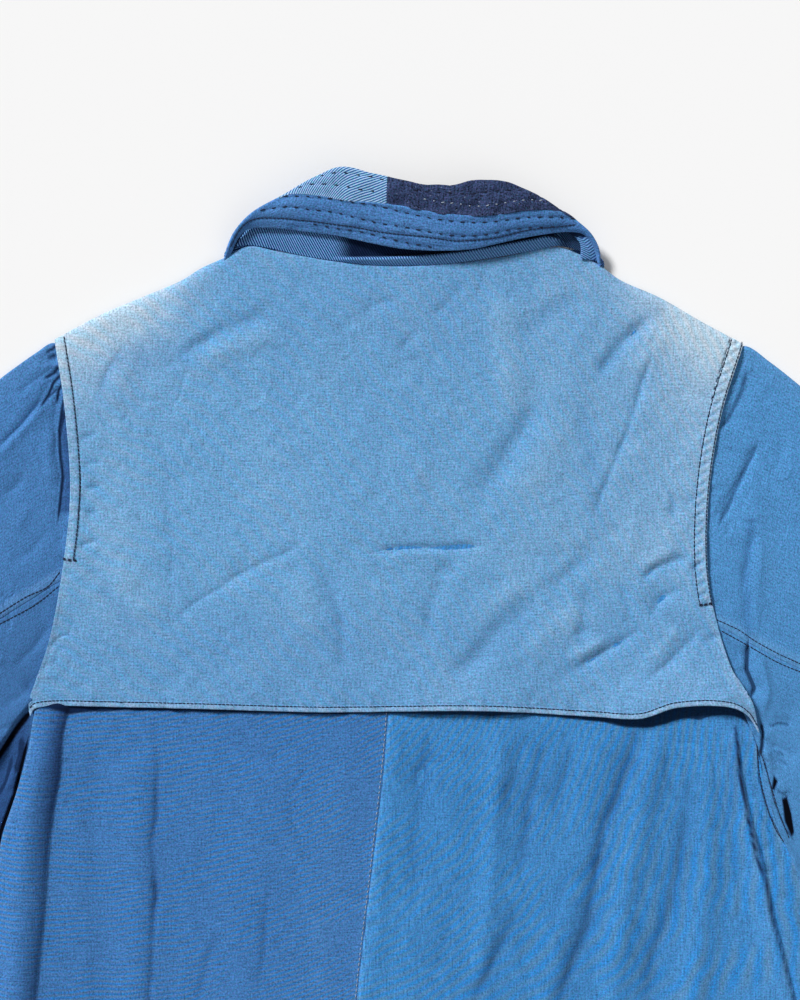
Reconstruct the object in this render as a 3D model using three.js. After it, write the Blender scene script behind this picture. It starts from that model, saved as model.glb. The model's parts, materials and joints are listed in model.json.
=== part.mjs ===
// A patched indigo work jacket, laid flat with its front down and its back up, in millimetres.
// X runs across the back to the wearer's right, Y from the hem to the collar, and Z up from the surface.
// Every piece is a thin wall of cloth: a grid of points given its thickness along the surface's own normals.
import * as THREE from "three";

// Driving dimensions
const CLOTH = 1.2; // thickness of one layer of cloth with its seams pressed in
const HALF = CLOTH / 2;
const SEAM = 0.3; // space between the cut edges of two pieces that are sewn together
const BACK_LENGTH = 740; // from the neck seam to the hem, down the middle of the back
const HEM_HALF = 273; // half the width of the hem
const FRONT_OVERLAP = 15; // how far each front runs past the middle
const NECK_DROP = 76; // how far the front of the neck lies below the back of it
const REST_Z = 2.6; // the middle of the upper layer of cloth at the sides
const BODY_LOFT = 4.4; // how much higher it lies along the middle, over the fastened fronts
const LOFT_REACH = 140; // how far out from the middle that height reaches
const YOKE_RISE = 1.7; // from the middle of the back's cloth to the middle of the yoke's
const NECK_MIDDLE = 9; // the neck opening lies a little to the right of the back's seam
const COLLAR_REACH = 125; // how far the collar's hidden front parts reach from there
const COLLAR_UNDER_RISE = 1.5; // how far the cloth lies up over them
const BUTTON_DIAMETER = 18;
const BUTTON_THICKNESS = 2.8;
const BUTTON_EDGE = 0.8; // the rounding of the button's edge
const BUTTON_SIDES = 18;
const BUTTON_FIRST = -150; // the highest button
const BUTTON_PITCH = -120;
const BUTTON_COUNT = 5;

const { smoothstep, lerp, clamp } = THREE.MathUtils;

const finish = (color) => new THREE.MeshStandardMaterial({ color, roughness: 0.92, metalness: 0 });
const INDIGO_LEFT = finish(0x3e72ad);
const INDIGO_RIGHT = finish(0x4080bb);
const YOKE_BLUE = finish(0x679cca);
const SLEEVE_LEFT = finish(0x437bb0);
const SLEEVE_RIGHT = finish(0x4b88bf);
const BAND_BLUE = finish(0x3f6ca2);
const LIGHT_TWILL = finish(0x6891bc);
const NAVY = finish(0x354263);
const STAND_TWILL = finish(0x4e7bac);
const BUTTON_NAVY = new THREE.MeshStandardMaterial({ color: 0x20283a, roughness: 0.5, metalness: 0 });

// ---- Curves and surfaces ----

function curve(points) {
  const knots = points.map(([x, y, z = 0]) => new THREE.Vector3(x, y, z));
  return new THREE.CatmullRomCurve3(knots, false, "centripetal");
}

// A four-sided surface filled in between its boundary curves. s runs from left to right, t from top to bottom.
function filled({ top, bottom, left, right }) {
  const corner = [top.getPointAt(0), top.getPointAt(1), bottom.getPointAt(0), bottom.getPointAt(1)];
  return (s, t) => {
    const down = top.getPointAt(s).multiplyScalar(1 - t).addScaledVector(bottom.getPointAt(s), t);
    const across = left.getPointAt(t).multiplyScalar(1 - s).addScaledVector(right.getPointAt(t), s);
    const shared = new THREE.Vector3()
      .addScaledVector(corner[0], (1 - s) * (1 - t))
      .addScaledVector(corner[1], s * (1 - t))
      .addScaledVector(corner[2], (1 - s) * t)
      .addScaledVector(corner[3], s * t);
    return down.add(across).sub(shared);
  };
}

// Rises from 0 at an edge to 1 a given reach inside it, as a rolled edge of cloth does.
function roll(distance, reach) {
  const x = clamp(distance / reach, 0, 1);
  return Math.sqrt(1 - (1 - x) * (1 - x));
}

function distanceToLine(x, y, line) {
  let best = Infinity;
  for (let i = 0; i + 1 < line.length; i++) {
    const [ax, ay] = line[i];
    const [bx, by] = line[i + 1];
    const share = ((x - ax) * (bx - ax) + (y - ay) * (by - ay)) / ((bx - ax) ** 2 + (by - ay) ** 2);
    const k = clamp(share, 0, 1);
    best = Math.min(best, Math.hypot(x - lerp(ax, bx, k), y - lerp(ay, by, k)));
  }
  return best;
}

// A soft ridge, or with a negative height a soft trough, along a line.
function ridge(x, y, { line, width, height }) {
  return height * Math.exp(-((distanceToLine(x, y, line) / width) ** 2));
}

// Gives a grid of points, rows of equal length, the thickness of the cloth, and closes it round its edges.
function clothWall(rows, thickness = CLOTH) {
  const n = rows.length;
  const m = rows[0].length;
  const positions = [];
  const layers = [thickness / 2, -thickness / 2];
  for (const offset of layers) {
    for (let i = 0; i < n; i++) {
      for (let j = 0; j < m; j++) {
        const along = rows[Math.min(i + 1, n - 1)][j].clone().sub(rows[Math.max(i - 1, 0)][j]);
        const across = rows[i][Math.min(j + 1, m - 1)].clone().sub(rows[i][Math.max(j - 1, 0)]);
        const normal = across.cross(along).normalize();
        positions.push(...rows[i][j].clone().addScaledVector(normal, offset).toArray());
      }
    }
  }
  const first = (i, j) => i * m + j;
  const second = (i, j) => n * m + i * m + j;
  const index = [];
  const quad = (a, b, c, d) => index.push(a, b, c, a, c, d);
  for (let i = 0; i + 1 < n; i++) {
    for (let j = 0; j + 1 < m; j++) {
      quad(first(i, j), first(i, j + 1), first(i + 1, j + 1), first(i + 1, j));
      quad(second(i, j), second(i + 1, j), second(i + 1, j + 1), second(i, j + 1));
    }
  }
  for (let i = 0; i + 1 < n; i++) {
    quad(first(i, 0), first(i + 1, 0), second(i + 1, 0), second(i, 0));
    quad(first(i + 1, m - 1), first(i, m - 1), second(i, m - 1), second(i + 1, m - 1));
  }
  for (let j = 0; j + 1 < m; j++) {
    quad(first(0, j + 1), first(0, j), second(0, j), second(0, j + 1));
    quad(first(n - 1, j), first(n - 1, j + 1), second(n - 1, j + 1), second(n - 1, j));
  }
  const geometry = new THREE.BufferGeometry();
  geometry.setAttribute("position", new THREE.Float32BufferAttribute(positions, 3));
  geometry.setIndex(signedVolume(positions, index) < 0 ? turnedRound(index) : index);
  geometry.computeVertexNormals();
  return geometry;
}

function signedVolume(positions, index) {
  const corner = (k) => new THREE.Vector3().fromArray(positions, 3 * index[k]);
  let volume = 0;
  for (let k = 0; k < index.length; k += 3) {
    volume += corner(k).dot(corner(k + 1).cross(corner(k + 2))) / 6;
  }
  return volume;
}

function turnedRound(index) {
  const turned = [];
  for (let k = 0; k < index.length; k += 3) turned.push(index[k], index[k + 2], index[k + 1]);
  return turned;
}

// How far along a curve, as a share of its length, each of its knots lies.
function knotShares(line) {
  const spans = line.points.length - 1;
  const lengths = line.getLengths(spans * 40);
  return line.points.map((_, k) => lengths[k * 40] / lengths.at(-1));
}

const evenly = (count) => Array.from({ length: count + 1 }, (_, k) => k / count);

const jacket = new THREE.Group();

function addPiece(name, geometry, material) {
  const piece = new THREE.Mesh(geometry, material);
  piece.name = name;
  jacket.add(piece);
}

// ---- Outlines, as they lie ----

const sign = { left: -1, right: 1 };

// From the shoulder point down the armhole to the underarm, and on down the side to the hem.
const ARMHOLE_TO_HEM = {
  left: [
    [-217, -53], [-210, -86], [-206, -130], [-207, -170], [-209.5, -200], [-214, -226], [-224, -256],
    [-236, -285], [-241, -315], [-248, -340], [-259, -374], [-263, -410], [-266, -460], [-269, -530],
    [-271, -600], [-272, -670], [-HEM_HALF, -BACK_LENGTH],
  ],
  right: [
    [216, -55], [207, -90], [198, -130], [193.5, -165], [193.5, -196], [197, -228], [207, -257],
    [222, -285], [232, -309], [238, -335], [245, -362], [254, -381], [262, -400], [266, -450],
    [269, -520], [271, -600], [272, -670], [HEM_HALF, -BACK_LENGTH],
  ],
};
// Which of those points the sleeve's back seam starts at, and which is the underarm.
const SEAM_KNOT = { left: 4, right: 5 };
const UNDERARM_KNOT = { left: 10, right: 12 };

// The seam down the middle of the back leans as the cloth lies.
const CENTRE_BACK = [
  [0, -6], [-2, -120], [-7, -291], [-16, -380], [-27, -476], [-34, -600], [-38, -BACK_LENGTH],
];

// The edge of the yoke over each shoulder, from the neck out to the shoulder point.
const SHOULDER = {
  left: [[-113, 6], [-129, -1], [-142, -9], [-168, -20], [-194, -31], [-224, -47]],
  right: [[131, 0.5], [144, -8.5], [170, -20], [196, -35], [224, -50]],
};
const NECK_SEAM = [
  [-113, 6], [-98, 13], [-78, 9.5], [-38, 2.6], [0, 0], [37, 2], [67, 6], [102, 12.6], [117, 8], [131, 0.5],
];
const YOKE_SIDE = {
  left: [
    [-224, -47], [-218, -86], [-214, -134], [-214.5, -158], [-219, -197], [-227, -240], [-235, -265],
    [-240.6, -281], [-241, -286], [-240, -292],
  ],
  right: [
    [224, -50], [209, -99], [201, -155], [201.5, -205], [209, -239], [218, -265], [229.5, -283], [234, -303],
  ],
};
const YOKE_HEM = [
  [-240, -292], [-237.8, -287.6], [-230, -285.6], [-180, -286], [-129, -287], [-49, -289], [53, -288],
  [126, -292], [157, -293], [180, -286], [216, -286], [227, -292], [234, -303],
];

const SLEEVE_OUTER = {
  left: [
    [-226, -49.5], [-236, -55.5], [-246, -62.4], [-259, -72], [-300, -106], [-360, -165], [-430, -245],
    [-520, -360], [-625, -493],
  ],
  right: [
    [226, -51.5], [242, -62], [261, -77], [300, -110], [360, -168], [430, -247], [520, -361], [625, -493],
  ],
};
const SLEEVE_SEAM = {
  left: [[-221, -204], [-240, -216], [-259, -228], [-320, -272], [-400, -345], [-480, -440], [-566, -539.5]],
  right: [[209, -233.5], [229.5, -245], [246, -254], [261, -261], [320, -296], [400, -362], [480, -448],
    [566, -539.5]],
};
const SLEEVE_INNER = {
  left: [[-290, -398], [-350, -440], [-430, -508], [-507, -586]],
  right: [[294, -424], [350, -456], [430, -514], [507, -586]],
};

// ---- How high the upper cloth lies ----

const restHeight = (x) => REST_Z + BODY_LOFT * Math.exp(-((x / LOFT_REACH) ** 2));

function collarRise(x, y) {
  const near = smoothstep(-Math.abs(x - NECK_MIDDLE), -COLLAR_REACH - 18, -COLLAR_REACH);
  return COLLAR_UNDER_RISE * near * smoothstep(y, -150, -130);
}

const BACK_FOLDS = [
  { line: [[-230, -300], [-240, -345], [-246, -400], [-250, -476], [-256, -740]], width: 12, height: 5 },
  { line: [[-218, -300], [-223, -337], [-227, -391], [-232, -476], [-238, -620]], width: 7, height: -1 },
  { line: [[-165, -330], [-160, -400], [-168, -520], [-170, -700]], width: 16, height: 1.6 },
  { line: [[-90, -340], [-100, -440], [-95, -600]], width: 20, height: 1.4 },
  { line: [[66, -310], [66, -400], [60, -520], [70, -700]], width: 14, height: 2 },
  { line: [[128, -300], [112, -380], [104, -476], [104, -640]], width: 15, height: 2.4 },
  { line: [[196, -310], [190, -380], [186, -476], [192, -640]], width: 17, height: 2.6 },
  { line: [[228, -320], [234, -364], [246, -400], [256, -460], [264, -600]], width: 7, height: -0.8 },
];

// The flap stands off the back where its hem bows up.
const YOKE_LIFTS = [
  { line: [[20, -292], [58, -292]], width: 26, height: 3 },
  { line: [[168, -290], [205, -290]], width: 30, height: 6 },
  { line: [[-120, -290], [-90, -290]], width: 40, height: 1 },
];

function backHeight(x, y, fromSide, fromTop) {
  const bare = smoothstep(-y, 288, 330);
  const folds = BACK_FOLDS.reduce((sum, fold) => sum + ridge(x, y, fold), 0);
  const full = restHeight(x) + bare * folds;
  const side = lerp(full, REST_Z - 0.2, (1 - roll(fromSide, 14)) * smoothstep(-y, 300, 400));
  const atShoulder = lerp(REST_Z - 0.2 + collarRise(x, y), side, roll(fromTop, 16));
  return lerp(side, atShoulder, smoothstep(Math.abs(x - NECK_MIDDLE), COLLAR_REACH - 5, COLLAR_REACH + 15));
}

// ---- Back panels ----

function backPanel(side) {
  const outer = ARMHOLE_TO_HEM[side];
  const shoulder = SHOULDER[side].map(([x, y]) => [x - sign[side] * 2, y - 9]);
  const neck = NECK_SEAM.filter(([x]) => x * sign[side] > 20 && Math.abs(x) < 110).map(([x, y]) => [x, y - 7]);
  const fromMiddle = side === "left" ? neck.reverse() : neck;
  const top = [CENTRE_BACK[0], ...fromMiddle, ...shoulder.slice(0, -1), outer[0]];
  const middle = CENTRE_BACK.map(([x, y]) => [x + (sign[side] * SEAM) / 2, y]);
  const surface = filled({
    top: curve(top.map((p, k) => (k ? p : middle[0]))),
    bottom: curve([middle.at(-1), outer.at(-1)]),
    left: curve(middle),
    right: curve(outer),
  });
  const columns = [0, 0.14, 0.28, 0.42, 0.55, 0.67, 0.77, 0.84, 0.89, 0.93, 0.96, 0.985, 1];
  return knotShares(curve(outer)).map((t) =>
    columns.map((s) => {
      const p = surface(s, t);
      const fromSide = p.distanceTo(surface(1, t));
      const fromTop = p.distanceTo(surface(s, 0));
      p.z = backHeight(p.x, p.y, fromSide, fromTop);
      return p;
    }),
  );
}
addPiece("back_left", clothWall(backPanel("left")), INDIGO_LEFT);
addPiece("back_right", clothWall(backPanel("right")), INDIGO_RIGHT);

// ---- Yoke: one cape-like flap over the shoulders, free along its hem ----

const YOKE_NECK_START = 0.258; // where along the top edge the neck seam begins
const YOKE_NECK_END = 0.776;

function yokeHeight(x, y, s, fromTop) {
  const lifts = YOKE_LIFTS.reduce((sum, lift) => sum + ridge(x, y, lift), 0);
  const full = restHeight(x) + YOKE_RISE + lifts * smoothstep(-y, 190, 290);
  const isNeck = smoothstep(s, YOKE_NECK_START - 0.03, YOKE_NECK_START + 0.03)
    * (1 - smoothstep(s, YOKE_NECK_END - 0.03, YOKE_NECK_END + 0.03));
  const atShoulder = lerp(REST_Z - 0.2 + collarRise(x, y), full, roll(fromTop, 9));
  const atNeck = full - 0.8 * (1 - roll(fromTop, 8));
  return lerp(atShoulder, atNeck, isNeck);
}

function yoke() {
  const top = [...SHOULDER.left.slice(1).reverse(), ...NECK_SEAM, ...SHOULDER.right.slice(1)];
  const surface = filled({
    top: curve(top),
    bottom: curve(YOKE_HEM),
    left: curve(YOKE_SIDE.left),
    right: curve(YOKE_SIDE.right),
  });
  const columns = [
    0, 0.03, 0.08, 0.14, 0.2, 0.24, 0.258, 0.29, 0.34, 0.4, 0.46, 0.52, 0.58, 0.64, 0.7, 0.75, 0.776, 0.8,
    0.84, 0.88, 0.92, 0.955, 0.98, 1,
  ];
  const rows = [0, 0.006, 0.016, 0.035, 0.09, 0.2, 0.34, 0.5, 0.65, 0.78, 0.88, 0.95, 1];
  return rows.map((t) =>
    columns.map((s) => {
      const p = surface(s, t);
      p.z = yokeHeight(p.x, p.y, s, p.distanceTo(surface(s, 0)));
      return p;
    }),
  );
}
addPiece("back_yoke", clothWall(yoke()), YOKE_BLUE);

// ---- Fronts: flat on the surface, lifted only over the collar's points and along the buttons ----

const FRONT_NECK = {
  left: [[-115, 1], [-111, -5], [-98, -17], [-72, -48], [-40, -71], [FRONT_OVERLAP, -NECK_DROP - 3]],
  right: [[132, -5], [127, -11], [111, -22], [78, -50], [41, -71], [-FRONT_OVERLAP, -NECK_DROP - 3]],
};

function frontHeight(side, x, y) {
  const overlapRise = BUTTON_THICKNESS + 0.3 + (side === "right" ? CLOTH + 0.3 : 0);
  const inward = x * -sign[side];
  const overButtons = overlapRise * smoothstep(inward, -45, -FRONT_OVERLAP);
  return HALF + Math.max(overButtons, collarRise(x, y));
}

function frontPanel(side) {
  const outer = ARMHOLE_TO_HEM[side];
  const shoulder = SHOULDER[side].slice(1).map(([x, y]) => [x, y - 1.5]);
  const neck = FRONT_NECK[side];
  const edge = -sign[side] * FRONT_OVERLAP;
  const surface = filled({
    top: curve([...[...neck].reverse(), ...shoulder.slice(0, -1), outer[0]]),
    bottom: curve([[edge, -BACK_LENGTH], outer.at(-1)]),
    left: curve([neck.at(-1), [edge, -BACK_LENGTH]]),
    right: curve(outer),
  });
  const columns = [0, 0.05, 0.1, 0.13, 0.16, 0.2, 0.3, 0.4, 0.48, 0.6, 0.8, 1];
  return knotShares(curve(outer)).map((t) =>
    columns.map((s) => {
      const p = surface(s, t);
      p.z = frontHeight(side, p.x, p.y);
      return p;
    }),
  );
}
addPiece("front_left", clothWall(frontPanel("left")), INDIGO_LEFT);
addPiece("front_right", clothWall(frontPanel("right")), INDIGO_RIGHT);

// ---- Sleeves: an upper sleeve that wraps the outer fold, and an under sleeve below the back seam ----

const SLEEVE_FOLDS = {
  left: [
    { line: [[-264, -312], [-300, -348], [-360, -410], [-430, -470]], width: 15, height: 3 },
    { line: [[-245, -330], [-290, -378], [-350, -425]], width: 9, height: -1.2 },
    { line: [[-240, -90], [-300, -160], [-370, -230]], width: 16, height: 1.6 },
    { line: [[-300, -230], [-380, -310], [-450, -400]], width: 16, height: 1.5 },
    { line: [[-480, -360], [-540, -450], [-570, -500]], width: 16, height: 1.5 },
  ],
  right: [
    { line: [[226, -90], [232, -160], [225, -215]], width: 9, height: 1.2 },
    { line: [[250, -330], [300, -352], [370, -410]], width: 14, height: 2.6 },
    { line: [[262, -130], [320, -180], [380, -240]], width: 16, height: 1.6 },
    { line: [[300, -230], [380, -310], [450, -400]], width: 16, height: 1.5 },
    { line: [[480, -360], [540, -450], [570, -500]], width: 16, height: 1.5 },
  ],
};
const SLEEVE_LOFT = 2.4;

function sleeveHeight(side, p, acrossShare, alongShare) {
  const folds = SLEEVE_FOLDS[side].reduce((sum, fold) => sum + ridge(p.x, p.y, fold), 0);
  const away = smoothstep(alongShare, 0, 0.12);
  return restHeight(p.x) + away * (SLEEVE_LOFT * Math.sin(Math.PI * acrossShare) + folds);
}

const SLEEVE_ROWS = [0, 0.05, 0.11, 0.18, 0.27, 0.38, 0.51, 0.66, 0.83, 1];
const NEAR_FOLD = [0.014, 0.035, 0.08]; // more sections beside the outer fold, as shares of the way to the seam

// The sleeve's edge at the armhole follows the body's, a seam's width outside it.
function sleeveOutlines(side) {
  const shift = sign[side] * SEAM * 1.4;
  const armhole = ARMHOLE_TO_HEM[side].slice(0, UNDERARM_KNOT[side] + 1).map(([x, y]) => [x + shift, y]);
  const below = armhole.slice(SEAM_KNOT[side]);
  const seam = [armhole[SEAM_KNOT[side]], ...SLEEVE_SEAM[side]];
  const outer = [armhole[0], ...SLEEVE_OUTER[side]];
  return {
    aboveSeam: curve(armhole.slice(0, SEAM_KNOT[side] + 1)),
    belowSeam: curve([[below[0][0], below[0][1] - SEAM], ...below.slice(1)]),
    whole: curve(armhole),
    outer: curve(outer),
    inner: curve([armhole.at(-1), ...SLEEVE_INNER[side]]),
    seam: curve(seam),
    seamLower: curve(seam.map(([x, y]) => [x, y - SEAM])),
  };
}

const straight = (a, b) => curve([a.toArray(), b.toArray()]);

function upperSleeve(side) {
  const lines = sleeveOutlines(side);
  const cuff = [lines.outer.getPointAt(1), lines.seam.getPointAt(1), lines.inner.getPointAt(1)];
  // Here s runs from the armhole to the cuff, and t from the outer fold to the seam or to the inner edge.
  const cuffs = [straight(cuff[0], cuff[1]), straight(cuff[0], cuff[2])];
  const shown = filled({ top: lines.outer, bottom: lines.seam, left: lines.aboveSeam, right: cuffs[0] });
  const under = filled({ top: lines.outer, bottom: lines.inner, left: lines.whole, right: cuffs[1] });
  const shownColumns = [...NEAR_FOLD, ...knotShares(lines.aboveSeam).slice(1)].reverse();
  const underColumns = knotShares(lines.whole).slice(1);
  return SLEEVE_ROWS.map((s) => {
    const edge = shown(s, 0);
    const inward = shown(s, 0.05).sub(edge).setZ(0).normalize();
    const upper = shownColumns.map((t) => {
      const p = shown(s, t);
      const fromEdge = p.distanceTo(edge);
      p.z = lerp(REST_Z - 0.3, sleeveHeight(side, p, t / 2, s), roll(fromEdge, 10));
      return p;
    });
    const fold = edge.clone().addScaledVector(inward, HALF).setZ(HALF + 0.85);
    const turned = edge.clone().addScaledVector(inward, 1.4).setZ(HALF);
    return [...upper, fold, turned, ...underColumns.map((t) => under(s, t).setZ(HALF))];
  });
}

function underSleeve(side) {
  const lines = sleeveOutlines(side);
  const cuff = [lines.seamLower.getPointAt(1), lines.inner.getPointAt(1)];
  const end = straight(...cuff);
  const shown = filled({ top: lines.seamLower, bottom: lines.inner, left: lines.belowSeam, right: end });
  return SLEEVE_ROWS.map((s) =>
    knotShares(lines.belowSeam).map((t) => {
      const p = shown(s, t);
      const fromInner = p.distanceTo(shown(s, 1));
      p.z = lerp(REST_Z - 0.3, sleeveHeight(side, p, (1 + t) / 2, s), roll(fromInner, 12));
      return p;
    }),
  );
}
for (const side of ["left", "right"]) {
  const material = side === "left" ? SLEEVE_LEFT : SLEEVE_RIGHT;
  addPiece(`sleeve_upper_${side}`, clothWall(upperSleeve(side)), material);
  addPiece(`sleeve_under_${side}`, clothWall(underSleeve(side)), material);
}

// ---- Collar stand: one band that runs right round the neck, from front edge to front edge ----

const STAND_FOOT = [
  [-1, -75, 3.1], [-38, -68, 2.3], [-70, -45, 2.1], [-96, -14, 2.1], [-108.5, -3, 2.2], [-113, 4, 2.3],
  [-113.4, 9.2, 4], [-107, 13.2, 5.8], [-99, 14.6, 6.4], [-88, 13.4, 6.8], [-64, 8, 7.3], [-38, 3.8, 7.7],
  [-12, 1.4, 7.9], [14, 1.5, 7.9], [40, 3.4, 7.7], [67, 7.4, 7.2], [88, 11.4, 6.8], [104, 14.2, 6.3],
  [119, 10.4, 5.8], [128, 6.6, 5.2], [133.2, 3.6, 3.8], [132.4, -3, 2.3], [126, -9, 2.1], [109, -21, 2.1],
  [76, -47, 2.1], [40, -68, 2.3], [1, -75, 3.1],
];
const STAND_TOP = [
  [-1, -38, 2.6], [-30, -31, 2.1], [-58, -10, 2.1], [-84, 14, 2.1], [-94, 18.5, 2.1], [-100, 20.5, 2.6],
  [-103, 22, 4.2], [-101, 25, 7], [-96, 29, 9.5], [-84, 37, 13], [-64, 47, 16], [-38, 57, 18],
  [-12, 54, 19], [14, 49, 19], [40, 47.5, 19], [66, 49, 18], [86, 43, 16], [101, 34, 12.5],
  [112, 25, 9], [118.5, 20, 7], [121, 16, 4.6], [118, 12.5, 2.8], [112, 11, 2.1], [95, 8, 2.1],
  [63, -12, 2.1], [31, -31, 2.1], [1, -38, 2.6],
];

// How wide a ledge the foot is folded outward as, behind the neck: x and width.
const STAND_LEDGE = [[-42, 0.8], [-20, 3], [0, 4.2], [65, 5.9], [95, 5.6], [104, 3], [112, 0.8]];
const LEDGE_RISE = 2.9;
const LEDGE_VALLEY = 2.4; // how far the stand drops away above the ledge

function ledgeWidth(x) {
  const next = STAND_LEDGE.findIndex(([at]) => at > x);
  if (next === 0) return STAND_LEDGE[0][1];
  if (next < 0) return STAND_LEDGE.at(-1)[1];
  const [[x0, w0], [x1, w1]] = [STAND_LEDGE[next - 1], STAND_LEDGE[next]];
  return lerp(w0, w1, (x - x0) / (x1 - x0));
}

function collarStand() {
  const foot = curve(STAND_FOOT);
  const head = curve(STAND_TOP);
  const heights = [0, 0.06, 0.12, 0.2, 0.5, 1];
  return evenly(43).map((s) => {
    const low = foot.getPoint(s);
    const high = head.getPoint(s);
    const reach = Math.hypot(high.x - low.x, high.y - low.y);
    const behind = low.z > 5.6 ? smoothstep(low.x, -44, -30) * (1 - smoothstep(low.x, 100, 112)) : 0;
    return heights.map((t) => {
      const p = low.clone().lerp(high, t);
      const past = t * reach - ledgeWidth(low.x);
      const ledge = past <= 0 ? (1 + past / ledgeWidth(low.x)) ** 0.6 : Math.exp(-((past / 1.1) ** 2));
      const valley = smoothstep(past, 0.6, 3) * (1 - smoothstep(past, 14, 26)) * smoothstep(low.x, -30, 10);
      p.z += behind * (LEDGE_RISE * ledge - LEDGE_VALLEY * valley);
      return p;
    });
  });
}
addPiece("collar_stand", clothWall(collarStand(), 1), STAND_TWILL);

// ---- Collar fall: turned back over the stand, patched above a band along its free edge ----

const FALL_ROLL = [
  [-114.6, 7.4, 6.4], [-111.3, 12.8, 9.5], [-105.8, 23, 14], [-94.6, 34.1, 18], [-73.3, 45.9, 20.5],
  [-55.2, 56, 22], [-36.7, 62.3, 23], [-17.5, 58.7, 23.4], [3.1, 53.9, 23.4], [26.4, 51, 23.4],
  [52.8, 54.3, 23], [70, 53.7, 22.5], [85.4, 47.9, 21], [102.2, 38.5, 19], [115.3, 28.6, 16],
  [124.3, 20.6, 13.5], [129.3, 11.9, 10.5], [131.6, 2, 7],
];
const FALL_SEAM = [
  [-114, 7.7, 6.2], [-110.5, 12.7, 9.4], [-104.9, 22.4, 14.8], [-93.9, 33.2, 19.2], [-71.5, 45, 22],
  [-52, 44.3, 24.4], [-34.7, 41, 25.2], [-17.3, 39.7, 25.4], [1.9, 37.1, 25.4], [25.1, 32.8, 25.2],
  [48.9, 31, 25], [66.2, 32.4, 24.4], [81.1, 34.8, 23], [98.7, 35.3, 20.4], [113.1, 30.1, 16.8],
  [123.3, 20.3, 13.9], [128.4, 11.7, 10.6], [131, 2, 6.4],
];
const FALL_EDGE = [
  [-113.4, 7.4, 5.2], [-109.6, 10.8, 8], [-104.1, 19.1, 10.7], [-97.8, 24.3, 12.2], [-82.1, 25, 13.2],
  [-60.7, 22.6, 14], [-39.4, 19.8, 14.6], [-20, 15.4, 15.4], [1.9, 11.3, 16.4], [26.5, 10, 17],
  [47.2, 11, 17.4], [65.3, 14.9, 17.4], [79.5, 18.1, 16.8], [95.1, 20.9, 15.2], [108.2, 22.5, 13.4],
  [118.7, 21.4, 11.6], [126, 14.2, 9], [130.6, 1.6, 4.6],
];
const UNDER_EDGE = [
  [-108.3, 12, 6.7], [-103, 19.6, 8.6], [-97, 25.6, 10.6], [-81.8, 26.4, 11.7], [-60.5, 24, 12.5],
  [-39.2, 21.2, 13.1], [-19.8, 16.8, 13.9], [1.9, 12.7, 14.9], [26.5, 11.4, 15.4], [47.2, 12.4, 15.8],
  [65.2, 16.3, 15.8], [79.4, 19.5, 15.2], [95, 22.3, 13.4], [108.4, 22.6, 11], [117.6, 15.5, 9.4],
  [118.4, 5.6, 8],
];
const FALL_SPANS = FALL_SEAM.length - 1;
const PATCH_JOIN = 0.441; // where along the fall the light patch meets the navy one
const WRAP_START = 4 / FALL_SPANS; // before this and past WRAP_END the band itself makes the roll
const WRAP_END = 13.7 / FALL_SPANS;
const WRAP_TURN = 0.014; // how far along the fall the band takes to come up over the roll

const fallRoll = curve(FALL_ROLL);
const fallSeam = curve(FALL_SEAM);
const fallEdge = curve(FALL_EDGE);

// One section across the fall above its seam: up over the roll from the inside, then back to the seam.
function patchSection(s) {
  const roundest = fallRoll.getPoint(s);
  const seam = fallSeam.getPoint(s);
  const inward = fallEdge.getPoint(s).sub(roundest).setZ(0).normalize();
  const depth = seam.distanceTo(roundest);
  const wide = clamp(depth / 10, 0, 1);
  const inside = roundest.clone().addScaledVector(inward, lerp(0.3, 1.2, wide));
  inside.z -= lerp(0.9, 1.8, wide);
  const shoulder = roundest.clone().lerp(seam, 0.16);
  shoulder.z += 1.3 * clamp(depth / 12, 0, 1);
  const middle = roundest.clone().lerp(seam, 0.55);
  middle.z += 1.1 * clamp(depth / 12, 0, 1);
  return [inside, roundest, shoulder, middle, seam];
}

function patch(from, to, count) {
  return evenly(count).map((k) => patchSection(lerp(from, to, k)));
}

// One section across the band: from its seam with a patch, or from inside the roll where it wraps over that.
function bandSection(s, wrapped) {
  const seam = fallSeam.getPoint(s);
  const edge = fallEdge.getPoint(s);
  const roundest = fallRoll.getPoint(s);
  const width = seam.distanceTo(edge);
  const arch = 1.2 * clamp(width / 20, 0, 1);
  const lower = [0.5, 0.75, 1].map((t) => {
    const p = seam.clone().lerp(edge, t);
    p.z += arch * Math.sin(Math.PI * t);
    return p;
  });
  if (!wrapped) {
    const starts = [1.3 / width, 0.25, 0.38].map((t) => {
      const p = seam.clone().lerp(edge, t);
      p.z += arch * Math.sin(Math.PI * t);
      return p;
    });
    return [...starts, ...lower];
  }
  const inward = edge.clone().sub(roundest).setZ(0).normalize();
  const lip = roundest.clone().addScaledVector(inward, 0.5);
  lip.z -= 1.6;
  const crown = roundest.clone().lerp(edge, 0.22);
  crown.z += 0.7;
  return [lip, roundest, crown, ...lower];
}

function band() {
  const ends = 5;
  const start = evenly(ends).map((k) => bandSection(k * (WRAP_START - WRAP_TURN), true));
  const middle = evenly(15).map((k) => bandSection(lerp(WRAP_START, WRAP_END, k), false));
  const finish = evenly(ends).map((k) => bandSection(lerp(WRAP_END + WRAP_TURN, 1, k), true));
  return [...start, ...middle, ...finish];
}

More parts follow.
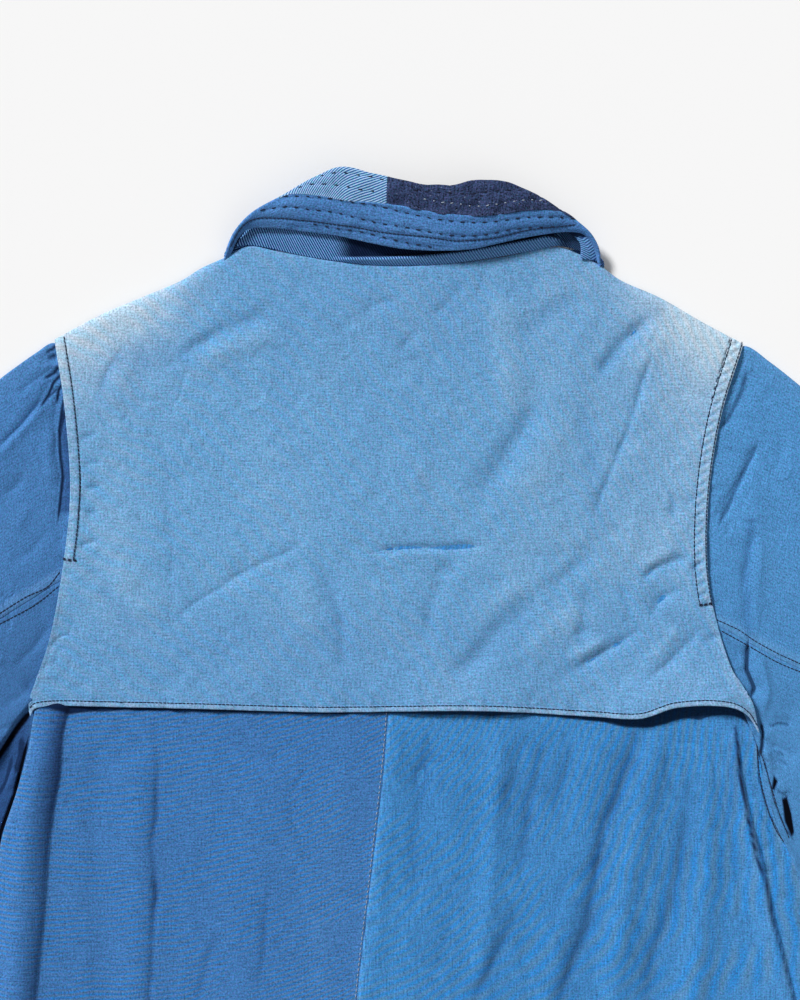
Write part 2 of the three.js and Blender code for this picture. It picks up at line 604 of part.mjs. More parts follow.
// The under collar lies inside the fall, and shows where the fall turns at the wearer's right.
function underCollar() {
  const free = curve(UNDER_EDGE);
  return evenly(26).map((k) => {
    const from = lerp(1.3 / FALL_SPANS, 1 - 1.3 / FALL_SPANS, k);
    const seam = fallSeam.getPoint(from);
    const start = seam.clone().lerp(fallEdge.getPoint(from), 0.3);
    start.z -= from < WRAP_START || from > WRAP_END ? 3.2 : 2.3;
    const end = free.getPoint(k);
    return [0, 0.35, 0.7, 1].map((t) => {
      const p = start.clone().lerp(end, t);
      p.z += 0.9 * Math.sin(Math.PI * t) * clamp(seam.distanceTo(end) / 20, 0, 1);
      return p;
    });
  });
}
addPiece("collar_patch_light", clothWall(patch(WRAP_START + 0.006, PATCH_JOIN - 0.002, 10), 1), LIGHT_TWILL);
addPiece("collar_patch_navy", clothWall(patch(PATCH_JOIN + 0.002, WRAP_END - 0.006, 12), 1), NAVY);
addPiece("collar_band", clothWall(band(), 1), BAND_BLUE);
addPiece("collar_under", clothWall(underCollar(), 1), STAND_TWILL);

// The collar's front parts lie under the fronts, each a plain leaf down to its point. The neck opening
// reaches further to the right, and so does the leaf there.
const LEAF_REACH = { left: 0, right: 14 };
const LEAF_FOOT = [1.5, -34]; // where the leaf starts at the middle of the front
const LEAF_NECK = [[34, -24], [62, -4]]; // its upper edge, from there to the shoulder
const LEAF_SHOULDER = [96, 6];
const LEAF_CORNER = [108, -30];
const LEAF_POINT = [52, -116];
const LEAF_OUTER = [[76, -100], [98, -72]]; // its outer edge, from the point to the corner
function collarLeaf(side) {
  const out = sign[side];
  const reach = LEAF_REACH[side];
  const placed = ([x, y], further = 0) => [out * (x + further), y];
  const foot = placed(LEAF_FOOT);
  const point = placed(LEAF_POINT);
  const shoulder = placed([LEAF_SHOULDER[0], LEAF_SHOULDER[1] - reach * 0.6], reach);
  const corner = placed(LEAF_CORNER, reach);
  const surface = filled({
    top: curve([foot, placed(LEAF_NECK[0]), placed(LEAF_NECK[1]), shoulder]),
    bottom: curve([point, placed(LEAF_OUTER[0]), placed(LEAF_OUTER[1], reach / 2), corner]),
    left: curve([foot, point]),
    right: curve([shoulder, corner]),
  });
  return evenly(5).map((t) => evenly(8).map((s) => surface(s, t).setZ(HALF)));
}
addPiece("collar_leaf_left", clothWall(collarLeaf("left")), LIGHT_TWILL);
addPiece("collar_leaf_right", clothWall(collarLeaf("right")), NAVY);

// ---- Buttons: fastened, under the left front ----

function button() {
  const radius = BUTTON_DIAMETER / 2;
  const profile = [
    [0, 0],
    [radius - BUTTON_EDGE, 0],
    [radius, BUTTON_EDGE],
    [radius, BUTTON_THICKNESS - BUTTON_EDGE],
    [radius - BUTTON_EDGE, BUTTON_THICKNESS],
    [0, BUTTON_THICKNESS],
  ];
  const geometry = new THREE.LatheGeometry(profile.map(([r, h]) => new THREE.Vector2(r, h)), BUTTON_SIDES);
  return geometry.rotateX(Math.PI / 2);
}
for (let k = 0; k < BUTTON_COUNT; k++) {
  const geometry = button().translate(0, BUTTON_FIRST + k * BUTTON_PITCH, 0);
  addPiece(`button_${k + 1}`, geometry, BUTTON_NAVY);
}

// The origin is the middle of the underside.
const box = new THREE.Box3().setFromObject(jacket);
const middle = box.getCenter(new THREE.Vector3());
jacket.position.set(-middle.x, -middle.y, -box.min.z);

const part = new THREE.Group();
part.add(jacket);

export default part;
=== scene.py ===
"""A patched indigo work jacket, laid flat with its back up: its cloth, seams and hand stitches."""

import json
import math

import bpy
import numpy as np
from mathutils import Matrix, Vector
from mathutils.bvhtree import BVHTree

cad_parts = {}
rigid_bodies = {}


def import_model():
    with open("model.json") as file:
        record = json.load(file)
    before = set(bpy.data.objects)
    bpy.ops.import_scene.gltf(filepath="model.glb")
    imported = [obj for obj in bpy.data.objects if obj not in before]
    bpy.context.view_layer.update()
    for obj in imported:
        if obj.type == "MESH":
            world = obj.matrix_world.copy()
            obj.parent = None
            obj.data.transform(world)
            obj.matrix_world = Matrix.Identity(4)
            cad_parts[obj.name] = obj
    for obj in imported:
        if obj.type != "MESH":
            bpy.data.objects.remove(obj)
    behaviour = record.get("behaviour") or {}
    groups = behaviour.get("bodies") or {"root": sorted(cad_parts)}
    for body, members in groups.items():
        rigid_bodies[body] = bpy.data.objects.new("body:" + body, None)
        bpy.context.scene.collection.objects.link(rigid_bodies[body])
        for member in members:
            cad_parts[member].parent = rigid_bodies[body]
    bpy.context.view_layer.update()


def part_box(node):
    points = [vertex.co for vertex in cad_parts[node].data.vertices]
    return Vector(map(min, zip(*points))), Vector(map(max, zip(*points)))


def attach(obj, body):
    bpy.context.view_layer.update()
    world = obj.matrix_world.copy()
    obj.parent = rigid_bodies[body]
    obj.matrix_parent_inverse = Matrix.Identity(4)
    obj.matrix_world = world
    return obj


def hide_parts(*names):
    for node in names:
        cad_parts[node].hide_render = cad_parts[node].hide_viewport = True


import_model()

# ---- Driving sizes, in millimetres ----
# They are in the cutter's own frame: its origin is the neck seam at the middle of the back, X runs to the
# wearer's right and Y towards the collar.

MM = 0.001
TURN = 2 * math.pi

CLOTH = 1.2  # thickness of the body's cloth, and of the collar's
COLLAR_CLOTH = 1.0
HALF = CLOTH / 2
SEAM = 0.3  # gap between two pieces where they are sewn together
LAYER_GAP = 0.3  # gap between layers that lie on one another

BACK_LENGTH = 740  # neck seam to hem
HEM_HALF = 273
FRONT_OVERLAP = 15  # how far each front runs past the middle
NECK_DROP = 76  # how far the front of the neck lies below the back of it
NECK_MIDDLE = 9  # the neck seam's middle, as it lies
BUTTON_THICKNESS = 2.8

REST_Z = 2.6  # height at which the back lies at its sides
SEAM_DIP = 0.2  # how far its edges lie below that
BODY_LOFT = 4.4  # how much higher the back lies in the middle, and how far out that reaches
LOFT_REACH = 140
YOKE_RISE = 1.7  # the flap's height above the back
SLEEVE_LOFT = 2.4  # how much higher a sleeve lies along its middle
SLEEVE_DIP = 0.3  # how far its edges lie below the rest
COLLAR_REACH = 125  # half the width over which the hidden collar leaves lift the cloth, and by how much
COLLAR_UNDER_RISE = 1.5

HEM_STITCH_INSET = 3.5
FLAP_STITCH_INSET = {"left": 6.0, "right": 8.0}
FLAP_STITCH_END = {"left": -190.5, "right": -219.5}  # where the rows beside the armholes end
# Puckers along those rows: how much they lean, how high they stand and how far they fade
PUCKERS = {"left": (0.25, 0.2, 0.4), "right": (0.6, 0.34, 1.0)}
FLAP_DARKNESS = {"left": 0.92, "right": 0.78}  # shade under the flap
BACK_LIVELINESS = {"left": 0.35, "right": 1.0}  # how strongly the small folds of the back show
LOW_SLEEVE_SHADE = {"left": 0.3, "right": 0.12}
PLEATS = {"left": 1.0, "right": 0.3}  # gathers at the shoulder end of the armhole
SLEEVE_WEAVE_LENGTH = 600  # length of weave laid along a sleeve

SIDES = ("left", "right")
SIGN = {"left": -1, "right": 1}

# The cutter's origin in the part's frame, from two edges of the flat front.
front_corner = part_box("front_left")[0]
ORIGIN = np.array([front_corner[0] / MM + HEM_HALF, front_corner[1] / MM + BACK_LENGTH, 0.0])


def srgb(red, green, blue):
    """A colour given as it looks, 0 to 255, as the linear values that shaders work in."""
    shares = np.array([red, green, blue]) / 255
    linear = np.where(shares <= 0.04045, shares / 12.92, ((shares + 0.055) / 1.055) ** 2.4)
    return (*map(float, linear), 1.0)


# ---- Curves, filled surfaces and folds ----


class Line:
    """A smooth line through given knots: a centripetal Catmull-Rom spline."""

    PER_SPAN = 40

    def __init__(self, knots):
        knots = np.array([(*k, 0.0) if len(k) == 2 else k for k in knots], float)
        before = 2 * knots[0] - knots[1]
        after = 2 * knots[-1] - knots[-2]
        all_knots = np.vstack([before, knots, after])
        samples = [self._span(all_knots[i : i + 4]) for i in range(len(knots) - 1)]
        self.samples = np.vstack([*samples, knots[-1:]])
        steps = np.linalg.norm(np.diff(self.samples, axis=0), axis=1)
        self.travel = np.concatenate([[0], np.cumsum(steps)])
        self.length = self.travel[-1]
        self.knot_shares = self.travel[:: self.PER_SPAN] / self.length

    def _span(self, four):
        d0, d1, d2 = (max(np.linalg.norm(four[k + 1] - four[k]) ** 0.5, 1e-4) for k in range(3))
        p0, p1, p2, p3 = four
        m1 = ((p1 - p0) / d0 - (p2 - p0) / (d0 + d1) + (p2 - p1) / d1) * d1
        m2 = ((p2 - p1) / d1 - (p3 - p1) / (d1 + d2) + (p3 - p2) / d2) * d1
        t = (np.arange(self.PER_SPAN) / self.PER_SPAN)[:, None]
        return p1 + m1 * t + (-3 * p1 + 3 * p2 - 2 * m1 - m2) * t**2 + (2 * p1 - 2 * p2 + m1 + m2) * t**3

    def at(self, shares):
        """Points at shares of the line's length."""
        travel = np.asarray(shares, float) * self.length
        return np.stack([np.interp(travel, self.travel, self.samples[:, k]) for k in range(3)], axis=-1)

    def at_knot(self, shares):
        """Points at shares of the way through the knots, each span counting the same."""
        places = np.asarray(shares, float) * (len(self.samples) - 1)
        ticks = np.arange(len(self.samples))
        return np.stack([np.interp(places, ticks, self.samples[:, k]) for k in range(3)], axis=-1)


def filled(top, bottom, left, right, s, t):
    """A grid of points, one row for each t, that fills in between four boundary lines."""
    s_row = np.asarray(s, float)[None, :, None]
    t_col = np.asarray(t, float)[:, None, None]
    top_pts, bottom_pts = top.at(s)[None], bottom.at(s)[None]
    left_pts, right_pts = left.at(t)[:, None], right.at(t)[:, None]
    corners = (
        (1 - s_row) * (1 - t_col) * top.at([0])[0]
        + s_row * (1 - t_col) * top.at([1])[0]
        + (1 - s_row) * t_col * bottom.at([0])[0]
        + s_row * t_col * bottom.at([1])[0]
    )
    down = top_pts * (1 - t_col) + bottom_pts * t_col
    across = left_pts * (1 - s_row) + right_pts * s_row
    return down + across - corners


def smoothstep(value, low, high):
    x = np.clip((np.asarray(value, float) - low) / (high - low), 0, 1)
    return x * x * (3 - 2 * x)


def mix(a, b, share):
    return a + (b - a) * share


def roll(distance, reach):
    """Rises from 0 at an edge to 1 a given reach inside it, as a rolled edge of cloth does."""
    x = np.clip(distance / reach, 0, 1)
    return np.sqrt(1 - (1 - x) ** 2)


def spaced(length, fine, reach, coarse):
    """Shares from 0 to 1 along a length, with fine steps near both ends and coarse ones between."""
    edge = np.arange(0, reach, fine)
    inner = np.linspace(reach, length - reach, max(2, int(round((length - 2 * reach) / coarse))))
    return np.concatenate([edge, inner, length - edge[::-1]]) / length


def from_line(x, y, line):
    """Signed distance from a polyline, positive on its left, and how far along it the nearest point lies."""
    line = np.asarray(line, float)[:, :2]
    lengths = np.linalg.norm(np.diff(line, axis=0), axis=1)
    total = lengths.sum()
    best = np.full(np.shape(x), np.inf)
    signed = np.zeros(np.shape(x))
    along = np.zeros(np.shape(x))
    done = 0.0
    for (ax, ay), (bx, by), length in zip(line[:-1], line[1:], lengths):
        ux, uy = (bx - ax) / length, (by - ay) / length
        travel = (x - ax) * ux + (y - ay) * uy
        held = np.clip(travel, 0, length)
        dx, dy = x - ax - ux * held, y - ay - uy * held
        distance = np.hypot(dx, dy)
        nearer = distance < best
        side = np.where(ux * dy - uy * dx >= 0, 1.0, -1.0)
        best = np.where(nearer, distance, best)
        signed = np.where(nearer, side * distance, signed)
        along = np.where(nearer, (done + held) / total, along)
        done += length
    return signed, along


def run_of(line):
    """How far along a line each of its points lies."""
    return np.cumsum(np.linalg.norm(np.diff(line, axis=0, prepend=line[:1]), axis=1))


def fading(along, ends):
    """1 along a line, fading towards both ends over a share of its length."""
    return smoothstep(along, -0.01, ends) * (1 - smoothstep(along, 1 - ends, 1.01))


def beside(x, y, line, width):
    """1 on a line, falling away softly on both sides."""
    return np.exp(-((from_line(x, y, line)[0] / width) ** 2))


def ridge(x, y, line, width, height, ends=0.0):
    """A soft ridge, or a trough if its height is negative. Each end fades over a share of its length."""
    distance, along = from_line(x, y, line)
    shape = height * np.exp(-((distance / width) ** 2))
    if ends:
        shape = shape * smoothstep(along, 0, ends) * (1 - smoothstep(along, 1 - ends, 1))
    return shape


def pinch(x, y, line, width, height, ends=0.35):
    """A sharper crease, with long soft flanks."""
    distance, along = from_line(x, y, line)
    return height * fading(along, ends) / (1 + (distance / width) ** 2)


def step(x, y, line, width, height, reach, ends=0.2):
    """A fold's edge: high on the line's left, falling across it, and level again a reach away."""
    distance, along = from_line(x, y, line)
    return height * fading(along, ends) * np.tanh(distance / width) * np.exp(-((distance / reach) ** 2))


def within(x, y, outline, soft=0.7):
    """1 inside a closed outline and 0 outside it, with a soft edge."""
    ring = np.array([*outline, outline[0]], float)
    distance, _ = from_line(x, y, ring)
    inside = np.zeros(np.shape(x), bool)
    for (ax, ay), (bx, by) in zip(ring[:-1], ring[1:]):
        if ay != by:
            crosses = (ay > y) != (by > y)
            inside ^= crosses & (x < ax + (y - ay) / (by - ay) * (bx - ax))
    depth = np.where(inside, np.abs(distance), -np.abs(distance))
    return smoothstep(depth, -soft, soft)


def streak(x, y, line, width, soft=0.6, ends=0.15):
    """1 along a line of a given half width, with clean sides and tapering ends."""
    distance, along = from_line(x, y, line)
    half = width * fading(along, ends)
    return 1 - smoothstep(np.abs(distance), half - soft, half + soft)


def flank(x, y, line, width, height, reach, ends=0.1):
    """A rounded fold on the right of a line that drops steeply to it, and lies level on the other side."""
    distance, along = from_line(x, y, line)
    back = np.clip(-distance, 0, None)
    return height * fading(along, ends) * (1 - np.exp(-back / width)) * np.exp(-((back / reach) ** 2))


class Rumple:
    """Slow, seeded undulation of cloth: a few octaves of smooth noise on a lattice."""

    def __init__(self, seed):
        self.grid = np.random.default_rng(seed).standard_normal((64, 64))

    def one(self, x, y, wavelength):
        gx, gy = x / wavelength + 31.7, y / wavelength + 17.3
        ix, iy = np.floor(gx).astype(int), np.floor(gy).astype(int)
        fx, fy = gx - ix, gy - iy
        fx, fy = fx * fx * (3 - 2 * fx), fy * fy * (3 - 2 * fy)

        def node(a, b):
            return self.grid[a % 64, b % 64]

        low = mix(node(ix, iy), node(ix + 1, iy), fx)
        high = mix(node(ix, iy + 1), node(ix + 1, iy + 1), fx)
        return mix(low, high, fy)

    def __call__(self, x, y, wavelength, octaves=3, lean=0.0, stretch=1.0):
        """lean turns the grain of the undulation, in radians, and stretch draws it out along that grain."""
        along = (x * math.cos(lean) + y * math.sin(lean)) / stretch
        across = -x * math.sin(lean) + y * math.cos(lean)
        total = 0.0
        for k in range(octaves):
            total = total + self.one(along + 13 * k, across - 7 * k, wavelength / 2**k) / 2**k
        return total


# ---- Outlines, as they lie ----

ARMHOLE_TO_HEM = {
    "left": [
        (-217, -53), (-210, -86), (-206, -130), (-207, -170), (-209.5, -200), (-214, -226), (-224, -256),
        (-236, -285), (-241, -315), (-248, -340), (-259, -374), (-263, -410), (-266, -460), (-269, -530),
        (-271, -600), (-272, -670), (-HEM_HALF, -BACK_LENGTH),
    ],
    "right": [
        (216, -55), (207, -90), (198, -130), (193.5, -165), (193.5, -196), (197, -228), (207, -257),
        (222, -285), (232, -309), (238, -335), (245, -362), (254, -381), (262, -400), (266, -450),
        (269, -520), (271, -600), (272, -670), (HEM_HALF, -BACK_LENGTH),
    ],
}  # fmt: skip
SEAM_KNOT = {"left": 4, "right": 5}  # the armhole's knots where the sleeve's seam and its inner edge meet it
UNDERARM_KNOT = {"left": 10, "right": 12}
CENTRE_BACK = [(0, -6), (-2, -120), (-7, -291), (-16, -380), (-27, -476), (-34, -600), (-38, -BACK_LENGTH)]
SHOULDER = {
    "left": [(-113, 6), (-129, -1), (-142, -9), (-168, -20), (-194, -31), (-224, -47)],
    "right": [(131, 0.5), (144, -8.5), (170, -20), (196, -35), (224, -50)],
}
NECK_SEAM = [
    (-113, 6), (-98, 13), (-78, 9.5), (-38, 2.6), (0, 0), (37, 2), (67, 6), (102, 12.6), (117, 8), (131, 0.5),
]  # fmt: skip
YOKE_SIDE = {
    "left": [
        (-224, -47), (-218, -86), (-214, -134), (-214.5, -158), (-219, -197), (-227, -240), (-235, -265),
        (-240.6, -281), (-241, -286), (-240, -292),
    ],
    "right": [
        (224, -50), (209, -99), (201, -155), (201.5, -205), (209, -239), (218, -265), (229.5, -283),
        (234, -303),
    ],
}  # fmt: skip
YOKE_HEM = [
    (-240, -292), (-237.8, -287.6), (-230, -285.6), (-180, -286), (-129, -287), (-49, -289), (53, -288),
    (126, -292), (157, -293), (180, -286), (216, -286), (227, -292), (234, -303),
]  # fmt: skip
SLEEVE_OUTER = {
    "left": [
        (-226, -49.5), (-236, -55.5), (-246, -62.4), (-259, -72), (-300, -106), (-360, -165), (-430, -245),
        (-520, -360), (-625, -493),
    ],
    "right": [
        (226, -51.5), (242, -62), (261, -77), (300, -110), (360, -168), (430, -247), (520, -361), (625, -493),
    ],
}  # fmt: skip
SLEEVE_SEAM = {
    "left": [
        (-221, -204), (-240, -216), (-259, -228), (-320, -272), (-400, -345), (-480, -440), (-566, -539.5),
    ],
    "right": [
        (209, -233.5), (229.5, -245), (246, -254), (261, -261), (320, -296), (400, -362), (480, -448),
        (566, -539.5),
    ],
}  # fmt: skip
SLEEVE_INNER = {
    "left": [(-290, -398), (-350, -440), (-430, -508), (-507, -586)],
    "right": [(294, -424), (350, -456), (430, -514), (507, -586)],
}


# ---- How high the cloth lies, with its creases placed one by one ----


def rest_height(x):
    return REST_Z + BODY_LOFT * np.exp(-((x / LOFT_REACH) ** 2))


def collar_rise(x, y):
    near = smoothstep(-np.abs(x - NECK_MIDDLE), -COLLAR_REACH - 18, -COLLAR_REACH)
    return COLLAR_UNDER_RISE * near * smoothstep(y, -150, -130)


BACK_RIDGES = [
    # line, width, height
    ([(-232, -300), (-240, -345), (-246, -400), (-250, -476), (-256, -740)], 12, 5),
    ([(-197, -310), (-198, -400), (-194, -480), (-200, -600)], 8, -0.8),
    ([(-172, -330), (-168, -400), (-172, -520), (-176, -700)], 12, 1.8),
    ([(-90, -340), (-100, -440), (-95, -600)], 20, 1.4),
    ([(-2, -290), (-5, -346), (-12, -398), (-20, -470)], 7, 1.1),
    ([(66, -296), (64, -346), (60, -398), (52, -480), (60, -640)], 7, 2.0),
    ([(128, -300), (118, -380), (100, -476), (104, -640)], 13, 1.6),
    ([(170, -300), (160, -346), (150, -398), (140, -460), (150, -600)], 9, 2.8),
    ([(199, -310), (202, -385), (196, -437), (190, -500), (192, -640)], 9, 2.4),
    ([(222, -310), (228, -364), (238, -400), (246, -460), (254, -600)], 7, 1.2),
]
BACK_CREASES = [
    # line, width, height, ends
    ([(-158.5, -306), (-158, -360), (-161, -379), (-157.5, -411), (-160.5, -441), (-163, -476), (-168, -560)],
     1.7, -1.7, 0.25),
    ([(-82.5, -390), (-85, -424), (-89, -454), (-92, -480)], 1.8, -0.9, 0.4),
    ([(-120, -430), (-125, -452), (-130, -470), (-132, -490)], 2.4, -1.0, 0.4),
    ([(17, -304), (14, -346), (10, -386), (4, -430)], 5, -1.2, 0.3),
    ([(96, -300), (88.5, -340), (82, -379), (76, -405)], 4.2, -1.8, 0.3),
    ([(115, -304), (106, -340), (101, -366)], 4, -1.2, 0.4),
    ([(157, -292), (148, -327), (135, -360), (129, -392), (124, -431), (108, -464), (96, -500)],
     4, -2.5, 0.15),
    ([(190.5, -320), (187, -372), (179, -411), (166, -450), (158, -500)], 4.2, -1.9, 0.3),
    ([(82, -408), (69, -438), (53, -467), (44, -500)], 3.4, -1.7, 0.35),
    ([(40, -380), (34, -420), (24, -460), (16, -500)], 6, -0.9, 0.35),
    ([(112, -380), (104, -410), (100, -440)], 4, -0.8, 0.4),
    ([(216, -330), (218, -370), (222, -410)], 3, -0.8, 0.4),
    ([(-40, -300), (-44, -380), (-52, -470), (-60, -560)], 10, 0.7, 0.3),
    ([(24, -296), (17, -320), (8, -347)], 6, -1.5, 0.3),
    ([(82, -296), (77, -330), (66, -372)], 5, -1.1, 0.3),
]
BACK_STEPS = [
    # line, width, height, reach, ends
    ([(219, -292), (222, -329), (229.5, -364), (236.6, -387), (242, -419), (250, -449), (257, -476),
      (262, -560)], 0.9, -2.3, 9, 0.12),
]  # fmt: skip

# The crest of the long fold on the left, below the armhole
LEFT_FOLD = [
    (-207, -248), (-212, -272), (-215.5, -290), (-219, -304), (-221, -333), (-225, -354), (-227.7, -377),
    (-231, -424), (-239, -500), (-246, -620),
]  # fmt: skip
BACK_FLANKS = {
    # painted shade on the shaded sides of the larger folds: line, width, how dark
    "left": [
        ([(-160, -292), (-159, -330), (-158, -372), (-160, -420)], 2.4, 0.16),
    ],
    "right": [
        ([(219, -300), (222, -333), (227, -359.5), (232, -381), (239.5, -404), (244, -430)], 0.9, 0.9),
        ([(218, -310), (216, -350)], 5, 0.2),
    ],
}  # fmt: skip

# Painted shade in thin dark lines along rolled seams: line, half width, how dark
BACK_STREAKS = {
    "left": [],
    "right": [
        ([(233.6, -303), (234.6, -333), (241, -355.6), (249.8, -372.4), (258, -384)], 0.45, 0.8),
        ([(219.4, -296), (222, -333), (227, -359.5), (232, -381), (239.5, -404)], 0.35, 0.7),
        ([(229, -330), (234, -352), (243, -372)], 0.3, 0.45),
    ],
}

# How far the painted shade under the flap reaches below its hem: x, reach
FLAP_SHADE = [
    (-245, 0.6), (-235, 0.9), (-227.5, 1.8), (-219, 4.4), (-215, 6.2), (-201, 4.0), (-185, 2.9), (-160, 2.2),
    (-129, 2.2), (-64, 1.9), (-12, 1.5), (10, 2.2), (27, 3.6), (59, 3.6), (79, 2.2), (100, 1.9), (131, 3.0),
    (157, 6.2), (170, 9.0), (183, 10.5), (196, 10.8), (202, 8.2), (222, 4.8), (230, 3.0), (240, 1.0),
]  # fmt: skip

# Slow, faintly darker stretches that run down the flap: line, width, how dark
YOKE_TONES = [
    ([(-74, -30), (-76, -110), (-74, -175)], 9, 0.12),
    ([(8, -60), (14, -110), (12, -165)], 11, 0.10),
    ([(-182, -62), (-160, -58), (-132, -62)], 11, 0.14),
    ([(-148, -100), (-150, -160), (-146, -215)], 6, 0.10),
    ([(120, -70), (126, -120), (128, -170)], 8, 0.10),
]

# A soft fold off the left shoulder, with painted shade on its inner side
SHOULDER_FOLD = [(-174, -41), (-183.6, -55.8), (-192.2, -71.5), (-199, -84), (-206, -100), (-212, -125)]

# Where the flap's hem stands away from the back: line, width, height
YOKE_LIFTS = [
    ([(20, -292), (58, -292)], 26, 3),
    ([(168, -290), (205, -290)], 30, 6),
    ([(-120, -290), (-90, -290)], 40, 1),
]
# The flap's slow folds, and then its sharper creases: line, width, height, ends
YOKE_SOFT = [
    ([(-149, -67), (-136, -54), (-120, -45), (-100, -38), (-77, -29)], 4.6, -1.5, 0.3),
    ([(-140, -77), (-116, -58), (-92, -48), (-68, -38)], 7, 1.1, 0.3),
    ([(-174, -45), (-178, -60), (-182, -76), (-186, -92)], 8, 0.6, 0.3),
    ([(-54.5, -188), (-45, -210), (-38.5, -236), (-33, -268)], 5.5, -1.7, 0.25),
    ([(-66, -196), (-60, -220), (-56, -250)], 8, 0.7, 0.3),
    ([(-207, -192), (-189, -210), (-173.5, -233), (-158.5, -255)], 4.6, -1.5, 0.3),
    ([(-192, -190), (-172, -212), (-156, -232)], 8, 0.7, 0.3),
    ([(75, -51), (97, -31), (124, -12)], 6, -1.1, 0.3),
    ([(97, -76), (89, -94), (72, -119), (59, -138), (46, -155)], 7.5, -1.7, 0.3),
    ([(112, -92), (102, -116), (88, -138), (70, -160)], 9, 0.8, 0.3),
    ([(168, -21), (157, -36), (145, -49), (134, -66), (129, -77)], 4.4, -2.0, 0.25),
    ([(178, -34), (163, -54), (150, -72)], 6.5, 1.1, 0.3),
    ([(114, -83), (124, -112), (131, -145)], 5, -0.7, 0.3),
    ([(132, -180), (104.6, -203.5), (88, -217)], 4.5, -0.8, 0.35),
    ([(94, -212), (78.6, -226.3), (52.7, -250), (28, -270)], 6.5, -1.9, 0.3),
    ([(131, -216), (105, -232), (79, -258)], 9, 1.2, 0.3),
    ([(90, -200), (66, -218), (44, -240)], 9, 0.7, 0.3),
    ([(21, -249), (20, -223), (30, -198), (46, -186)], 5, -0.9, 0.3),
    ([(124, -200), (120, -226), (116, -249)], 5, -0.9, 0.3),
    ([(64, -8), (70, -50), (76, -104)], 9, 1.3, 0.25),
    ([(30, -4), (34, -60), (30, -110)], 12, -0.6, 0.3),
    ([(-180, -120), (-176, -180), (-182, -240)], 16, 0.6, 0.3),
    ([(-60, -60), (-20, -100), (10, -150)], 18, -0.6, 0.3),
    ([(-90, -110), (-70, -150), (-60, -190)], 16, 0.5, 0.3),
    ([(-22, -190), (-3, -202), (14, -216)], 5, -0.6, 0.3),
]
YOKE_SHARP = [
    ([(-199.5, -88), (-186.5, -64), (-174, -45)], 2.2, -1.0, 0.3),
    ([(-174, -45), (-167, -55), (-162, -69)], 2.2, -0.9, 0.3),
    ([(-157, -86), (-151.5, -132), (-149, -190), (-147.5, -249)], 2.6, -0.5, 0.3),
    ([(-3, -58), (6, -49), (17, -40)], 2.4, -0.9, 0.35),
    ([(-32, -33), (-16, -23), (6, -21)], 3.2, -0.8, 0.35),
    ([(20, -36), (34.5, -21), (46, -3)], 3.0, -1.0, 0.3),
    ([(55, 2), (53, -12), (50, -22)], 2.0, -0.8, 0.35),
    ([(77, -4), (74, -14), (70, -26)], 2.0, -0.6, 0.35),
    ([(-60, -3), (-66, -14), (-70, -24)], 2.4, -0.6, 0.35),
    ([(168, -44), (160, -70), (149, -103), (136, -138), (123, -171)], 1.9, -1.2, 0.25),
    ([(179, -145), (180, -166)], 2.2, -1.1, 0.35),
    ([(-22, -186), (-9, -183.5), (10, -182.5), (33, -183), (60, -180.5)], 1.9, -2.5, 0.22),
    ([(-16, -190), (10, -186), (38, -187)], 3.0, 0.7, 0.35),
    ([(60.5, -181), (79, -188), (97, -190.5), (118, -183), (138.5, -192)], 2.4, -0.4, 0.3),
    ([(-152, -235), (-129.5, -217), (-103.5, -201), (-77.5, -188), (-56.5, -176)], 1.9, -1.1, 0.25),
    ([(142.5, -200), (151.5, -220), (149, -239)], 3.0, -1.0, 0.3),
    ([(104, -268), (110, -264), (124, -257), (138.5, -247), (155, -237), (163, -230)], 2.6, -1.7, 0.35),
    ([(106, -256), (122, -249), (136, -240)], 4.0, 1.1, 0.3),
    ([(160, -271), (166, -266), (177.5, -255.5), (189, -242.5), (201, -229.5)], 2.6, -1.7, 0.35),
    ([(160, -256), (172, -246), (184, -232)], 4.0, 1.2, 0.3),
    ([(157, -203.5), (166, -196), (179.5, -190.5), (190.5, -188)], 2.8, -1.9, 0.25),
    ([(163, -222), (174, -213), (188, -205)], 2.8, -0.9, 0.35),
    ([(156, -196), (168, -188), (184, -183)], 3.6, 1.1, 0.3),
    ([(163, -231), (171, -218), (180, -210)], 2.8, -1.2, 0.3),
    ([(196, -246), (210, -235)], 2.4, -1.3, 0.3),
    ([(-209, -112.5), (-194, -107)], 2.0, -1.1, 0.4),
    ([(-207, -129), (-191, -127)], 2.0, -1.1, 0.4),
    ([(-206, -145), (-191, -141)], 2.0, -1.6, 0.4),
    ([(-207, -161), (-195, -159)], 2.0, -1.2, 0.4),
    ([(-212, -183), (-195, -177.5)], 2.0, -1.9, 0.4),
    ([(199, -190.5), (189, -200)], 2.2, -1.2, 0.4),
    ([(197, -150), (186, -156)], 2.2, -0.9, 0.4),
    ([(206, -80), (196, -84)], 2.0, -0.5, 0.4),
]

